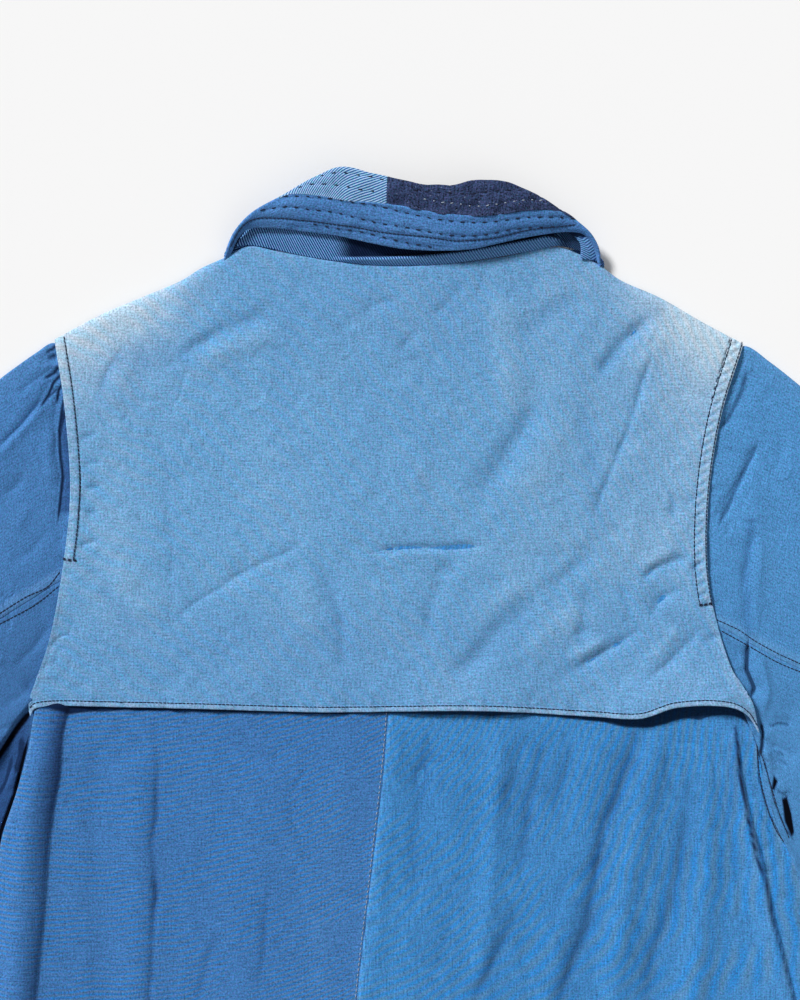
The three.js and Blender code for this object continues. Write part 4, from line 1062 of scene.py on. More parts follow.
def upper_sleeve_piece(side):
    lines = sleeve_lines(side)
    outer, seam, inner = lines["outer"], lines["seam"], lines["inner"]
    upper_cuff, under_cuff = (Line([outer.at([1])[0], line.at([1])[0]]) for line in (seam, inner))
    s = ARM_SHARES
    near_edge = [0.005, 0.012, 0.022, 0.034, 0.05, 0.07]
    t = np.concatenate([near_edge, np.linspace(0.085, 0.95, 120), [0.97, 0.985, 1]])
    shown = filled(outer, seam, lines["above"], upper_cuff, s, t)
    under = filled(outer, inner, lines["whole"], under_cuff, s, np.linspace(0.05, 1, 22))
    edge = outer.at(s)
    across = np.broadcast_to(t[:, None] / 2, shown.shape[:2])
    along = np.broadcast_to(s, shown.shape[:2])
    x, y = shown[..., 0], shown[..., 1]
    from_edge = np.linalg.norm(shown - edge[None], axis=2)
    shown[..., 2] = mix(REST_Z - SLEEVE_DIP, sleeve_height(side, x, y, across, along), roll(from_edge, 10))
    from_seam = np.linalg.norm(shown - seam.at(s)[None] * [1, 1, 0] - shown * [0, 0, 1], axis=2)
    felled = 1 - smoothstep(from_seam, 7.6, 9.2)
    shown[..., 2] += 0.35 * felled - 0.3 * np.exp(-(((from_seam - 7.4) / 1) ** 2))
    inward = shown[5] - edge
    inward[:, 2] = 0
    inward /= np.linalg.norm(inward, axis=1, keepdims=True)
    turns = []
    for depth, height in OUTER_TURNS:
        turn = edge + inward * depth
        turn[:, 2] = height
        turns.append(turn[None])
    under[..., 2] = HALF
    grid = np.concatenate([shown[::-1], *turns, under])
    piece = Piece(f"sleeve_upper_{side}_cloth", grid, face_up=False)
    if piece.normals[: len(t), :, 2].mean() < 0:
        piece.normals = -piece.normals
    fade = np.zeros(grid.shape[:2])
    fade[: len(t)] = (0.25 * felled + 0.12 * (1 - smoothstep(from_edge, 0, 20)))[::-1]
    piece.values["fade"] = fade
    painted_shade, dark_tone_and_shade = np.zeros(fade.shape), np.zeros(fade.shape)
    painted_shade[: len(t)] = painted_shade_share(side, x, y)[::-1]
    # On the left the cloth tucks in beside the armhole, and on the right a shallow bay runs along it: both
    # get painted shade.
    tucked = within(x, y, LEFT_TUCK, 1.5)
    bay = 0.35 * beside(x, y, RIGHT_BAY, 3)
    dark_tone_and_shade[: len(t)] = np.maximum(low_sleeve_shade(side, y) + bay, 0.72 * tucked)[::-1]
    piece.values["painted_shade"], piece.values["dark_tone_and_shade"] = painted_shade, dark_tone_and_shade
    piece.run_weave(s * SLEEVE_WEAVE_LENGTH, distance_along_columns(grid)[0])
    return piece


def under_sleeve_piece(side):
    lines = sleeve_lines(side)
    s = ARM_SHARES
    most = np.linspace(0.036, 0.9, 100, endpoint=False)
    t = np.concatenate([[0, 0.012, 0.024], most, np.linspace(0.9, 1, 14)])
    cuff = Line([lines["seam_lower"].at([1])[0], lines["inner"].at([1])[0]])
    grid = filled(lines["seam_lower"], lines["inner"], lines["below"], cuff, s, t)
    x, y = grid[..., 0], grid[..., 1]
    across = np.broadcast_to((1 + t[:, None]) / 2, x.shape)
    along = np.broadcast_to(s, x.shape)
    _, from_inner = distance_along_columns(grid)
    grid[..., 2] = mix(REST_Z - SLEEVE_DIP, sleeve_height(side, x, y, across, along), roll(from_inner, 12))
    piece = Piece(f"sleeve_under_{side}_cloth", grid)
    # Painted shade under the left arm, where the sleeve lies low beside the body
    piece.values["dark_tone_and_shade"] = np.maximum(low_sleeve_shade(side, y), 0.85 * within(x, y, LEFT_UNDERARM, 5))
    piece.values["painted_shade"] = painted_shade_share(side, x, y)
    piece.run_weave(along * SLEEVE_WEAVE_LENGTH, distance_along_columns(grid)[0])
    return piece


# ---- Collar ----

# The stand's lower and upper edges: round the neck from the front, behind it, and back to the front
STAND_FOOT = [
    (-1, -75, 3.1), (-38, -68, 2.3), (-70, -45, 2.1), (-96, -14, 2.1), (-108.5, -3, 2.2), (-113, 4, 2.3),
    (-113.4, 9.2, 4), (-107, 13.2, 5.8), (-99, 14.6, 6.4), (-88, 13.4, 6.8), (-64, 8, 7.3), (-38, 3.8, 7.7),
    (-12, 1.4, 7.9), (14, 1.5, 7.9), (40, 3.4, 7.7), (67, 7.4, 7.2), (88, 11.4, 6.8), (104, 14.2, 6.3),
    (119, 10.4, 5.8), (128, 6.6, 5.2), (133.2, 3.6, 3.8), (132.4, -3, 2.3), (126, -9, 2.1), (109, -21, 2.1),
    (76, -47, 2.1), (40, -68, 2.3), (1, -75, 3.1),
]  # fmt: skip
STAND_TOP = [
    (-1, -38, 2.6), (-30, -31, 2.1), (-58, -10, 2.1), (-84, 14, 2.1), (-94, 18.5, 2.1), (-100, 20.5, 2.6),
    (-103, 22, 4.2), (-101, 25, 7), (-96, 29, 9.5), (-84, 37, 13), (-64, 47, 16), (-38, 57, 18),
    (-12, 54, 19), (14, 49, 19), (40, 47.5, 19), (66, 49, 18), (86, 43, 16), (101, 34, 12.5),
    (112, 25, 9), (118.5, 20, 7), (121, 16, 4.6), (118, 12.5, 2.8), (112, 11, 2.1), (95, 8, 2.1),
    (63, -12, 2.1), (31, -31, 2.1), (1, -38, 2.6),
]  # fmt: skip
# The fall, from the wearer's left to right: its rolled upper edge, the seam between the patches and the
# band, its free edge, and the lower edge of the layer beneath
FALL_ROLL = [
    (-113.8, 4.1, 5.5), (-111.3, 12.6, 9.5), (-105.8, 23, 14), (-94.6, 34.1, 18), (-73.3, 45.9, 20.5),
    (-55.2, 56, 22), (-36.7, 62.3, 23), (-17.5, 58.7, 23.4), (3.1, 53.9, 23.4), (26.4, 51, 23.4),
    (52.8, 54.3, 23), (70, 53.7, 22.5), (85.4, 47.9, 21), (102.2, 38.5, 19), (115.3, 28.6, 16),
    (124.3, 20.6, 13.5), (129.3, 11.9, 10.5), (131.3, 1.4, 6.4),
]  # fmt: skip
FALL_SEAM = [
    (-113, 4.4, 5), (-110.5, 12.5, 9.4), (-104.9, 22.4, 14.8), (-93.9, 33.2, 19.2), (-71.5, 45, 22),
    (-52, 44.3, 24.4), (-34.7, 41, 25.2), (-17.3, 39.7, 25.4), (1.9, 37.1, 25.4), (25.1, 32.8, 25.2),
    (48.9, 31, 25), (66.2, 32.4, 24.4), (81.1, 34.8, 23), (98.7, 35.3, 20.4), (113.1, 30.1, 16.8),
    (123.3, 20.3, 13.9), (128.4, 11.7, 10.6), (130.5, 1.4, 5.6),
]  # fmt: skip
FALL_EDGE = [
    (-112.8, 3.7, 2.6), (-109, 10.2, 6.4), (-104.1, 19.1, 10.2), (-97.8, 24.3, 12.2), (-82.1, 25, 13.2),
    (-60.7, 22.6, 14), (-39.4, 19.8, 14.6), (-20, 15.4, 15.4), (1.9, 11.3, 16.4), (26.5, 10, 17),
    (47.2, 11, 17.4), (65.3, 14.9, 17.4), (79.5, 18.1, 16.8), (95.1, 20.9, 15.2), (108.2, 22.5, 13.4),
    (118.7, 21.4, 11.6), (126, 14.2, 9), (130.3, 0.8, 3.2),
]  # fmt: skip
UNDER_EDGE = [
    (-108.2, 10.6, 4.9), (-103, 19.6, 8.7), (-97, 25.6, 10.7), (-81.8, 26.4, 11.7), (-60.5, 24, 12.5),
    (-39.2, 21.2, 13.1), (-19.8, 16.8, 13.9), (1.9, 12.7, 14.9), (26.5, 11.4, 15.4), (47.2, 12.4, 15.8),
    (65.2, 16.3, 15.8), (79.4, 19.5, 15.2), (95, 22.3, 13.4), (108.4, 22.6, 11), (117.6, 15.5, 9.4),
    (118.4, 5.6, 8),
]  # fmt: skip
PATCH_JOIN = 0.441  # where the pale patch meets the navy one, as a share of the fall
JOIN_GAP = 0.001
PATCH_TUCK = 0.012  # how far the patches run on under the band's ends
WRAP_LEFT, WRAP_RIGHT = 4 / 17, 13.7 / 17  # where the band takes over the rolled edge from the patches
# The ledge at the stand's foot behind the neck: x, how far it reaches
LEDGE = [(-42, 0.8), (-20, 3), (0, 4.2), (65, 5.9), (95, 5.6), (104, 3), (112, 0.8)]

# Rows of stitching across the collar, each a line laid over it
BAND_ROWS = {
    "under the patches": [
        (-73, 44.2), (-53.5, 43.6), (-33.4, 40.5), (-14, 37.6), (4.5, 33.1), (24.4, 29.2), (45.7, 27),
        (61, 27.6), (82, 30.5), (104, 31), (112, 30.4),
    ],
    "middle": [
        (-88, 35.8), (-73, 37.6), (-57.3, 35.7), (-41, 33.7), (-27, 30.2), (-12, 26.7), (2.6, 24.4),
        (25, 20.2), (40.6, 18.6), (56, 19.5), (71, 22.6), (86, 24.3), (99, 25),
    ],
    "low": [(-54.2, 26.6), (-39.4, 23.8), (-24, 21.6), (-9, 17.9), (4.5, 14.8), (20, 12)],
    "edge": [
        (-108.6, 14), (-104.3, 21.6), (-98.7, 27.5), (-92.3, 30.3), (-80, 30.7), (-63.8, 29.3), (-51, 27.8),
        (-38, 25.9), (-25.2, 24), (-12.3, 21.4), (0.6, 19.8), (13.5, 18.5), (26.4, 16.9), (36, 15.6),
        (45.8, 15.9), (55.5, 16.6), (65.2, 18.2), (75, 20.7), (84.5, 23), (94.2, 24.2), (104, 25.2),
        (113, 26.4),
    ],
}  # fmt: skip
PATCH_ROWS = {
    "light, upper": [(-49.5, 57.2), (-42.4, 58.8), (-34.7, 58.8), (-27, 57.5), (-20, 56.7), (-11, 54.6)],
    "light, lower": [(-63.7, 50), (-56, 51.7), (-49, 51.7), (-41, 51), (-33.4, 49.8), (-25, 48), (-17, 47)],
    "navy, lower": [
        (16.7, 41.8), (22, 40.8), (30, 39.5), (38, 38.9), (45.7, 37.6), (55.3, 37.6), (65, 38.9), (72, 40.2),
        (83, 41.5), (91.4, 41.5),
    ],
    "navy, upper": [(10.3, 47.3), (20, 46.6), (33, 46), (45.7, 45.3), (55, 46.6), (65, 47.6), (78, 48)],
}  # fmt: skip

fall_roll, fall_seam, fall_edge, under_edge = (Line(k) for k in (FALL_ROLL, FALL_SEAM, FALL_EDGE, UNDER_EDGE))


def quilted(grid, rows):
    """How much the cloth is drawn down along its rows of stitches."""
    drawn = np.zeros(grid.shape[:2])
    for row in rows:
        path = Line(row).at(np.linspace(0, 1, 60))
        drawn = np.maximum(drawn, beside(grid[..., 0], grid[..., 1], path, 1.3))
    return drawn


def stand_piece():
    s = np.linspace(0, 1, 421)
    t = np.concatenate([np.linspace(0, 0.25, 28, endpoint=False), np.linspace(0.25, 1, 25)])
    foot, head = Line(STAND_FOOT).at_knot(s), Line(STAND_TOP).at_knot(s)
    t_col = t[:, None, None]
    grid = foot[None] * (1 - t_col) + head[None] * t_col
    reach = np.linalg.norm((head - foot)[:, :2], axis=1)
    x = foot[:, 0]
    behind = (foot[:, 2] > 5.6) * 1.0
    # Behind the neck the foot is folded outward as a narrow ledge, and the stand drops away above it.
    ledge = np.interp(x, *zip(*LEDGE)) / reach
    fold = smoothstep(x, -44, -30) * (1 - smoothstep(x, 100, 112)) * behind
    t_grid = np.broadcast_to(t[:, None], grid.shape[:2])
    inside = np.clip(t_grid / ledge, 0, 1)
    past = np.clip((t_grid - ledge) * reach, 0, None)
    step_down = 2.9 * np.where(t_grid <= ledge, inside**0.6, np.exp(-((past / 1.1) ** 2)))
    valley = -2.4 * smoothstep(past, 0.6, 3) * (1 - smoothstep(past, 14, 26))
    raised = 0.5 * np.sin(math.pi * np.clip(t_grid / 0.5, 0, 1)) * (1 - smoothstep(x, -20, 26)) * behind
    grid[..., 2] += fold * (step_down + valley * smoothstep(x, -30, 10)) + raised
    piece = Piece("collar_stand_cloth", grid, face_up=False)
    if piece.normals[:, 180:240, 2].mean() < 0:
        piece.normals = -piece.normals
    piece.run_weave(run_of(foot), distance_along_columns(grid)[0])
    piece.values["fade"] = 0.30 * fold * (t_grid <= ledge)
    end = smoothstep(x, 100, 108) * behind
    # Painted shade above the ledge, under the band's overhang, and at the stand's right end
    piece.values["dark_tone_and_shade"] = np.maximum(0.95 * fold * smoothstep(past, 0.3, 1.6), 0.75 * end)
    return piece


def patch_piece(name, start, end, columns):
    """One patch of the fall. Five sections run from inside the roll, over its crown, to the band's seam."""
    light = "light" in name
    s = np.linspace(start, end, columns)
    roundest, seam, free = (line.at_knot(s) for line in (fall_roll, fall_seam, fall_edge))
    inward = (free - roundest) * [1, 1, 0]
    inward /= np.linalg.norm(inward, axis=1, keepdims=True)
    lumpy = 0.35 if light else 1.0
    roundest = roundest + inward * lumpy * (0.5 + 0.55 * patch_noise.one(roundest[:, 0], 40.0, 11))[:, None]
    depth = np.linalg.norm(seam - roundest, axis=1)
    wide = np.clip(depth / 10, 0, 1)[:, None]
    arch = np.clip(depth / 12, 0, 1)
    inside = roundest + inward * mix(0.3, 1.2, wide)
    inside[:, 2] -= mix(0.9, 1.8, wide[:, 0])
    crown = mix(roundest, seam, 0.16)
    crown[:, 2] += 1.3 * arch
    body = mix(roundest, seam, 0.55)
    body[:, 2] += 1.1 * arch
    sections = np.stack([inside, roundest, crown, body, seam])
    grid = np.stack([Line(sections[:, k]).at_knot(np.linspace(0, 1, 41)) for k in range(columns)], axis=1)
    drawn = quilted(grid, [row for key, row in PATCH_ROWS.items() if light == key.startswith("light")])
    lumps = patch_noise(grid[..., 0], grid[..., 1], 8, 2)
    flat = smoothstep(np.arange(len(grid)), 6, 14)[:, None]
    grid[..., 2] += flat * ((0.2 if light else 0.75) * lumps - 0.45 * drawn)
    piece = Piece(name, grid)
    travel, from_seam = distance_along_columns(grid)
    piece.run_weave(run_of(seam), travel)
    piece.values["fade"] = 0.15 * np.exp(-((from_seam / 1.5) ** 2))
    return piece


def band_piece():
    """The band along the free edge. At both ends it wraps over the roll as well, where the patches stop."""
    s = np.linspace(0, 1, 361)
    outer, seam, free = (line.at_knot(s) for line in (fall_roll, fall_seam, fall_edge))
    wrap_left = 1 - smoothstep(s, WRAP_LEFT - 0.03, WRAP_LEFT + PATCH_TUCK)
    wrap_right = smoothstep(s, WRAP_RIGHT - PATCH_TUCK, WRAP_RIGHT + 0.03)
    wrap = (wrap_left + wrap_right)[:, None]
    inward = (free - outer) * [1, 1, 0]
    inward /= np.maximum(np.linalg.norm(inward, axis=1, keepdims=True), 1e-6)
    tucked = seam + [0, 0, -1.0]
    lip = outer + inward * 0.5
    lip[:, 2] -= 1.6
    first = mix(tucked, lip, wrap)
    second = mix(seam + [0, 0, -0.2], outer, wrap)
    third = mix(seam, mix(outer, free, 0.25) + [0, 0, 0.7], wrap)
    width = np.linalg.norm(free - third, axis=1)
    lower = np.linspace(0, 1, 44)
    grid = mix(third[None], free[None], lower[:, None, None])
    grid[..., 2] += 1.3 * np.sin(math.pi * lower[:, None]) * np.clip(width / 20, 0, 1)
    upper = np.stack([first, mix(first, second, 0.5), second, mix(second, third, 0.4)])
    grid = np.concatenate([upper, grid])
    drawn = quilted(grid, BAND_ROWS.values())
    lumps = patch_noise(grid[..., 0], grid[..., 1], 9, 2, lean=0.2, stretch=1.8)
    flat = smoothstep(np.arange(len(grid)), 3, 9)[:, None] * np.clip(width / 12, 0, 1)
    grid[..., 2] += flat * (0.22 * lumps - 0.45 * drawn)
    piece = Piece("collar_band_cloth", grid)
    travel, from_free = distance_along_columns(grid)
    piece.run_weave(run_of(seam), travel)
    piece.values["fade"] = 0.3 * np.exp(-((from_free / 1.4) ** 2)) + 0.1 * np.clip(lumps, 0, 1)
    # Painted shade along the rows of stitches, where they draw the cloth down
    piece.values["dark_tone_and_shade"] = 0.2 * drawn
    return piece


def under_collar_piece():
    s = np.linspace(0, 1, 241)
    spans = len(FALL_SEAM) - 1
    from_s = mix(1 / spans, 1 - 0.3 / spans, s)
    seam, free = fall_seam.at_knot(from_s), fall_edge.at_knot(from_s)
    start = mix(seam, free, 0.3)
    start[:, 2] -= 2.3
    end = under_edge.at_knot(s)
    t = np.linspace(0, 1, 24)[:, None]
    grid = mix(start[None], end[None], t[..., None])
    grid[..., 2] += 1.2 * np.sin(math.pi * t) * np.clip(np.linalg.norm(seam - end, axis=1) / 20, 0, 1)
    piece = Piece("collar_under_cloth", grid)
    travel, _ = distance_along_columns(grid)
    # At the right end its cloth turns back on itself as a lit tab, and elsewhere it lies in painted shade.
    tab = smoothstep(s, 0.9, 0.91)
    piece.run_weave(run_of(seam), mix(travel, np.abs(travel - 5.5), tab))
    piece.values["fade"] = 0.15 * tab
    piece.values["dark_tone_and_shade"] = 0.95 * (1 - tab)
    return piece


def leaf_piece(side):
    """The collar's front, lying below the fronts: hidden, plain and flat."""
    out = SIGN[side]
    reach = 0 if side == "left" else 14
    corner = (out * (96 + reach), 6 - reach * 0.6)
    grid = filled(
        Line([(out * 1.5, -34), (out * 34, -24), (out * 62, -4), corner]),
        Line([(out * 52, -116), (out * 76, -100), (out * (98 + reach / 2), -72), (out * (108 + reach), -30)]),
        Line([(out * 1.5, -34), (out * 52, -116)]),
        Line([corner, (out * (108 + reach), -30)]),
        np.linspace(0, 1, 40),
        np.linspace(0, 1, 30),
    )
    grid[..., 2] = HALF
    return Piece(f"collar_leaf_{side}_cloth", grid)


# ---- Shader groups shared by the cloths ----


FLOAT, VECTOR, COLOR = "NodeSocketFloat", "NodeSocketVector", "NodeSocketColor"


def new_group(name, inputs, outputs, kind="ShaderNodeTree"):
    """A node group with named sockets, its wiring, and the sockets to read from and to feed."""
    group = bpy.data.node_groups.new(name, kind)
    for label, socket_kind, default in inputs:
        socket = group.interface.new_socket(name=label, in_out="INPUT", socket_type=socket_kind)
        if default is not None:
            socket.default_value = default
    for label, socket_kind in outputs:
        group.interface.new_socket(name=label, in_out="OUTPUT", socket_type=socket_kind)
    given, result = group.nodes.new("NodeGroupInput"), group.nodes.new("NodeGroupOutput")
    return group, Wiring(group), given.outputs, result.inputs


class Wiring:
    """Short names for the few nodes that the cloths and stitches are made of."""

    def __init__(self, tree):
        self.tree = tree

    def put(self, socket, value):
        if isinstance(value, bpy.types.NodeSocket):
            self.tree.links.new(value, socket)
        elif value is not None:
            socket.default_value = value

    def node(self, kind, values, **settings):
        """A node with its settings, and with its inputs linked or set, each by its name or place."""
        node = self.tree.nodes.new(kind)
        for name, value in settings.items():
            setattr(node, name, value)
        for key, value in values.items():
            self.put(node.inputs[key], value)
        return node.outputs

    def math(self, operation, a, b=None, c=None, clamp=False):
        return self.node("ShaderNodeMath", {0: a, 1: b, 2: c}, operation=operation, use_clamp=clamp)[0]

    def centred(self, value, strength):
        """A value that varies about a half, made to vary about 0 by a strength."""
        return self.math("MULTIPLY", self.math("SUBTRACT", value, 0.5), strength)

    def wave(self, value, turns):
        """The sine of a value that is counted in turns, or multiplied into them."""
        return self.math("SINE", self.math("MULTIPLY", value, TURN * turns))

    def noise(self, vector, scale, detail=1.0, roughness=0.5, turned=0.0):
        """Noise with so many grains to the metre, along X and Y if scale is a pair."""
        across, down = scale if isinstance(scale, tuple) else (scale, scale)
        values = {"Vector": vector, "Rotation": (0, 0, turned), "Scale": (across, down, 1.0)}
        place = self.node("ShaderNodeMapping", values)[0]
        values = {"Vector": place, "Scale": 1.0, "Detail": detail, "Roughness": roughness}
        return self.node("ShaderNodeTexNoise", values)["Fac"]

    def split(self, vector):
        return self.node("ShaderNodeSeparateXYZ", {0: vector})

    def joined(self, x, y, z):
        return self.node("ShaderNodeCombineXYZ", {0: x, 1: y, 2: z})[0]

    def blend(self, share, a, b):
        return self.node("ShaderNodeMix", {0: share, 6: a, 7: b}, data_type="RGBA")[2]

    def brightened(self, color, scale):
        return self.node("ShaderNodeVectorMath", {0: color, "Scale": scale}, operation="SCALE")[0]

    def ramp(self, value, low, high):
        """0 below low, 1 above high."""
        values = {"Value": value, "From Min": low, "From Max": high}
        return self.node("ShaderNodeMapRange", values, interpolation_type="SMOOTHSTEP")["Result"]

    def attribute(self, name):
        return self.node("ShaderNodeAttribute", {}, attribute_name=name)["Fac"]


CHECK_PITCH = 0.0026  # in metres, like the groups' own pitches


def build_weave_group():
    """A plain weave seen close: warp and weft yarns of uneven thickness. Tone is a brightness, about 1."""
    group, w, given, result = new_group(
        "plain_weave",
        [
            ("Cloth", VECTOR, None),
            ("Warp Streaks", FLOAT, 0.3),
            ("Weft Streaks", FLOAT, 0.3),
            ("Grain", FLOAT, 1.6),
            ("Bars", FLOAT, 0.0),
            ("Bar Pitch", FLOAT, 0.0029),
            ("Watering", FLOAT, 0.0),
            ("Watering Along", VECTOR, None),
            ("Watering Bend", VECTOR, None),
        ],
        [("Tone", FLOAT), ("Height", FLOAT), ("Tint", FLOAT), ("Water", FLOAT)],
    )
    cloth = given["Cloth"]
    warp = w.noise(cloth, (1050.0, 90.0))
    weft = w.noise(cloth, (90.0, 1050.0))
    grain = w.noise(cloth, 820.0, roughness=0.7)
    tint = w.noise(cloth, 700.0, turned=0.7)
    x, y, _ = w.split(cloth)
    # Faint bars across the cloth and a fainter check, both drifting with the yarns
    drift = w.math("MULTIPLY", w.noise(cloth, 22.0), 0.030)
    bar = w.wave(w.math("DIVIDE", w.math("ADD", y, drift), given["Bar Pitch"]), 1)
    check = w.wave(w.math("ADD", x, drift), 1 / CHECK_PITCH)
    checked = w.math("MULTIPLY", w.math("MULTIPLY_ADD", check, 0.4, 1.0), bar)
    total = w.centred(warp, given["Warp Streaks"])
    total = w.math("ADD", total, w.centred(weft, given["Weft Streaks"]))
    total = w.math("ADD", total, w.centred(grain, given["Grain"]))
    total = w.math("ADD", total, w.math("MULTIPLY", checked, given["Bars"]))
    w.put(result["Tone"], w.math("ADD", total, 1.0))
    w.put(result["Height"], w.math("ADD", w.math("ADD", warp, weft), grain))
    w.put(result["Tint"], w.math("SUBTRACT", tint, 0.5))
    # The two sets of yarns beat against each other in watered lines: so many to the metre along X and Y,
    # turning by so many to the square metre with XX, XY and YY.
    across_x, across_y, _ = w.split(given["Watering Along"])
    bend_xx, bend_xy, bend_yy = w.split(given["Watering Bend"])
    phase = w.math("ADD", w.math("MULTIPLY", x, across_x), w.math("MULTIPLY", y, across_y))
    for first, second, bend in ((x, x, bend_xx), (x, y, bend_xy), (y, y, bend_yy)):
        phase = w.math("ADD", phase, w.math("MULTIPLY", w.math("MULTIPLY", first, second), bend))
    phase = w.math("MULTIPLY_ADD", w.noise(cloth, 17.0, detail=2.0), 3.2, phase)
    patchy = w.noise(cloth, 30.0, turned=0.4)
    strength = w.math("MULTIPLY", w.ramp(patchy, 0.25, 0.6), given["Watering"])
    broken = w.math("MULTIPLY_ADD", grain, 1.6, 0.2)
    w.put(result["Water"], w.math("MULTIPLY", w.math("MULTIPLY", w.wave(phase, 1), broken), strength))
    return group


def build_twill_group():
    """Twill: fine ribs that run up the cloth at a slant. Rib is 0 in the furrows and 1 on the ribs."""
    group, w, given, result = new_group(
        "twill_ribs",
        [("Cloth", VECTOR, None), ("Pitch", FLOAT, 0.0019), ("Slant", FLOAT, 1.0)],
        [("Rib", FLOAT)],
    )
    cloth = given["Cloth"]
    x, y, _ = w.split(cloth)
    drift = w.centred(w.noise(cloth, 160.0, detail=2.0), 1.6)
    slanted = w.math("ADD", x, w.math("MULTIPLY", y, given["Slant"]))
    phase = w.math("ADD", w.math("MULTIPLY", w.math("DIVIDE", slanted, given["Pitch"]), TURN), drift)
    rounded = w.ramp(w.math("MULTIPLY_ADD", w.math("SINE", phase), 0.5, 0.5), 0.15, 0.85)
    broken = w.math("MULTIPLY_ADD", w.noise(cloth, 1300.0), 0.7, 0.65)
    w.put(result["Rib"], w.math("MULTIPLY", rounded, broken, clamp=True))
    return group


def build_wear_and_shade_group():
    """Washed indigo with painted light and shade: mottled, paler with Fade (wear and painted light), darker
    with Deep (darker tone and painted shade), and in painted shade with Hollow.
    """
    group, w, given, result = new_group(
        "washed_indigo_and_shade",
        [
            ("Cloth", VECTOR, None),
            ("Body", COLOR, (0.1, 0.3, 0.6, 1)),
            ("Pale", COLOR, (0.4, 0.6, 0.8, 1)),
            ("Dark", COLOR, (0.03, 0.1, 0.3, 1)),
            ("Fade", FLOAT, 0.0),
            ("Deep", FLOAT, 0.0),
            ("Mottle", FLOAT, 0.2),
            ("Tone", FLOAT, 1.0),
            ("Tint", FLOAT, 0.0),
            ("Tint Strength", FLOAT, 0.9),
            ("Water", FLOAT, 0.0),
            ("Hollow", FLOAT, 0.0),
            ("Shade", COLOR, (0.005, 0.016, 0.066, 1)),
        ],
        [("Color", COLOR)],
    )
    slow = w.noise(given["Cloth"], 14.0, detail=4.0, roughness=0.6)
    fine = w.noise(given["Cloth"], 90.0, detail=3.0, roughness=0.6)
    mottle = w.math("ADD", w.math("SUBTRACT", slow, 0.5), w.centred(fine, 0.5))
    mottle = w.math("MULTIPLY", mottle, given["Mottle"])
    pale_share = w.math("ADD", given["Fade"], w.math("MAXIMUM", mottle, 0.0), clamp=True)
    dark_share = w.math("SUBTRACT", given["Deep"], w.math("MINIMUM", mottle, 0.0), clamp=True)
    color = w.blend(pale_share, given["Body"], given["Pale"])
    color = w.brightened(w.blend(dark_share, color, given["Dark"]), given["Tone"])
    # Warp and weft are dyed a little apart: one leans to violet, the other to green.
    lean = w.math("MULTIPLY", given["Tint"], given["Tint Strength"])
    lean = w.math("MULTIPLY", lean, w.math("MULTIPLY_ADD", pale_share, -0.8, 1.0))
    levels = []
    for by_lean, by_water in ((1.6, 1.6), (-0.35, 0.0), (0.35, -0.5)):
        level = w.math("MULTIPLY_ADD", lean, by_lean, 1.0)
        levels.append(w.math("MULTIPLY_ADD", given["Water"], by_water, level))
    tinted = w.node("ShaderNodeVectorMath", {0: color, 1: w.joined(*levels)}, operation="MULTIPLY")[0]
    # Only an opening is painted darker than the rest of the painted shade.
    depth = w.math("MULTIPLY_ADD", w.ramp(given["Hollow"], 0.93, 1.0), -0.85, 1.0)
    w.put(result["Color"], w.blend(given["Hollow"], tinted, w.brightened(given["Shade"], depth)))
    return group


WEAVE = build_weave_group()
TWILL = build_twill_group()
WEAR_AND_SHADE = build_wear_and_shade_group()


class Cloth:
    """A material in the making: a Principled shader with cloth's sheen, fed by the groups."""

    def __init__(self, name, roughness=0.88, sheen=0.12, gloss=0.2):
        self.material = bpy.data.materials.new(name)
        self.material.use_nodes = True
        self.w = Wiring(self.material.node_tree)
        self.inputs = self.material.node_tree.nodes["Principled BSDF"].inputs
        self.inputs["Roughness"].default_value = roughness
        self.inputs["Sheen Weight"].default_value = sheen
        self.inputs["Sheen Roughness"].default_value = 0.5
        self.inputs["Specular IOR Level"].default_value = gloss
        self.cloth = self.w.node("ShaderNodeUVMap", {}, uv_map="Cloth")[0]

    def group(self, tree, **values):
        named = {name.replace("_", " "): value for name, value in values.items()}
        return self.w.node("ShaderNodeGroup", {"Cloth": self.cloth, **named}, node_tree=tree)

    def worn_and_shaded(self, weave, body, pale, dark, mottle, **more):
        """The washed colour over a weave, following the cloth's own paler and darker values, which carry
        painted light and shade as well as wear.
        """
        fade, dark_tone_and_shade = self.w.attribute("fade"), self.w.attribute("dark_tone_and_shade")
        dyes = {"Body": body, "Pale": srgb(*pale), "Dark": srgb(*dark)}
        tones = {"Tone": weave["Tone"], "Tint": weave["Tint"]}
        return self.group(WEAR_AND_SHADE, Fade=fade, Deep=dark_tone_and_shade, Mottle=mottle, **dyes, **tones, **more)["Color"]

    def finish(self, color, height, depth):
        """depth is how far the weave stands up, in metres."""
        self.w.put(self.inputs["Base Color"], color)
        bump = self.w.node("ShaderNodeBump", {"Strength": 1.0, "Distance": depth, "Height": height})
        self.w.put(self.inputs["Normal"], bump[0])
        return self.material


def indigo(name, body, pale, dark, warp=0.6, weft=0.6, grain=1.5, mottle=0.35, bars=0.0, watered=None):
    """watered gives the strength of the watered lines, how many to the metre, and how they bend."""
    cloth = Cloth(name)
    strength, along, bend = watered or (0.0, (0, 0, 0), (0, 0, 0))
    yarns = {"Warp_Streaks": warp, "Weft_Streaks": weft, "Grain": grain, "Bars": bars}
    weave = cloth.group(WEAVE, Watering=strength, Watering_Along=along, Watering_Bend=bend, **yarns)
    painted_shade = cloth.w.attribute("painted_shade")
    color = cloth.worn_and_shaded(weave, srgb(*body), pale, dark, mottle, Hollow=painted_shade, Water=weave["Water"])
    # Where shade is painted, no gloss comes back, since the cloth there is a metal as dark as its painted
    # shade, which mirrors next to nothing.
    cloth.w.put(cloth.inputs["Metallic"], painted_shade)
    return cloth.finish(color, weave["Height"], 0.00012)


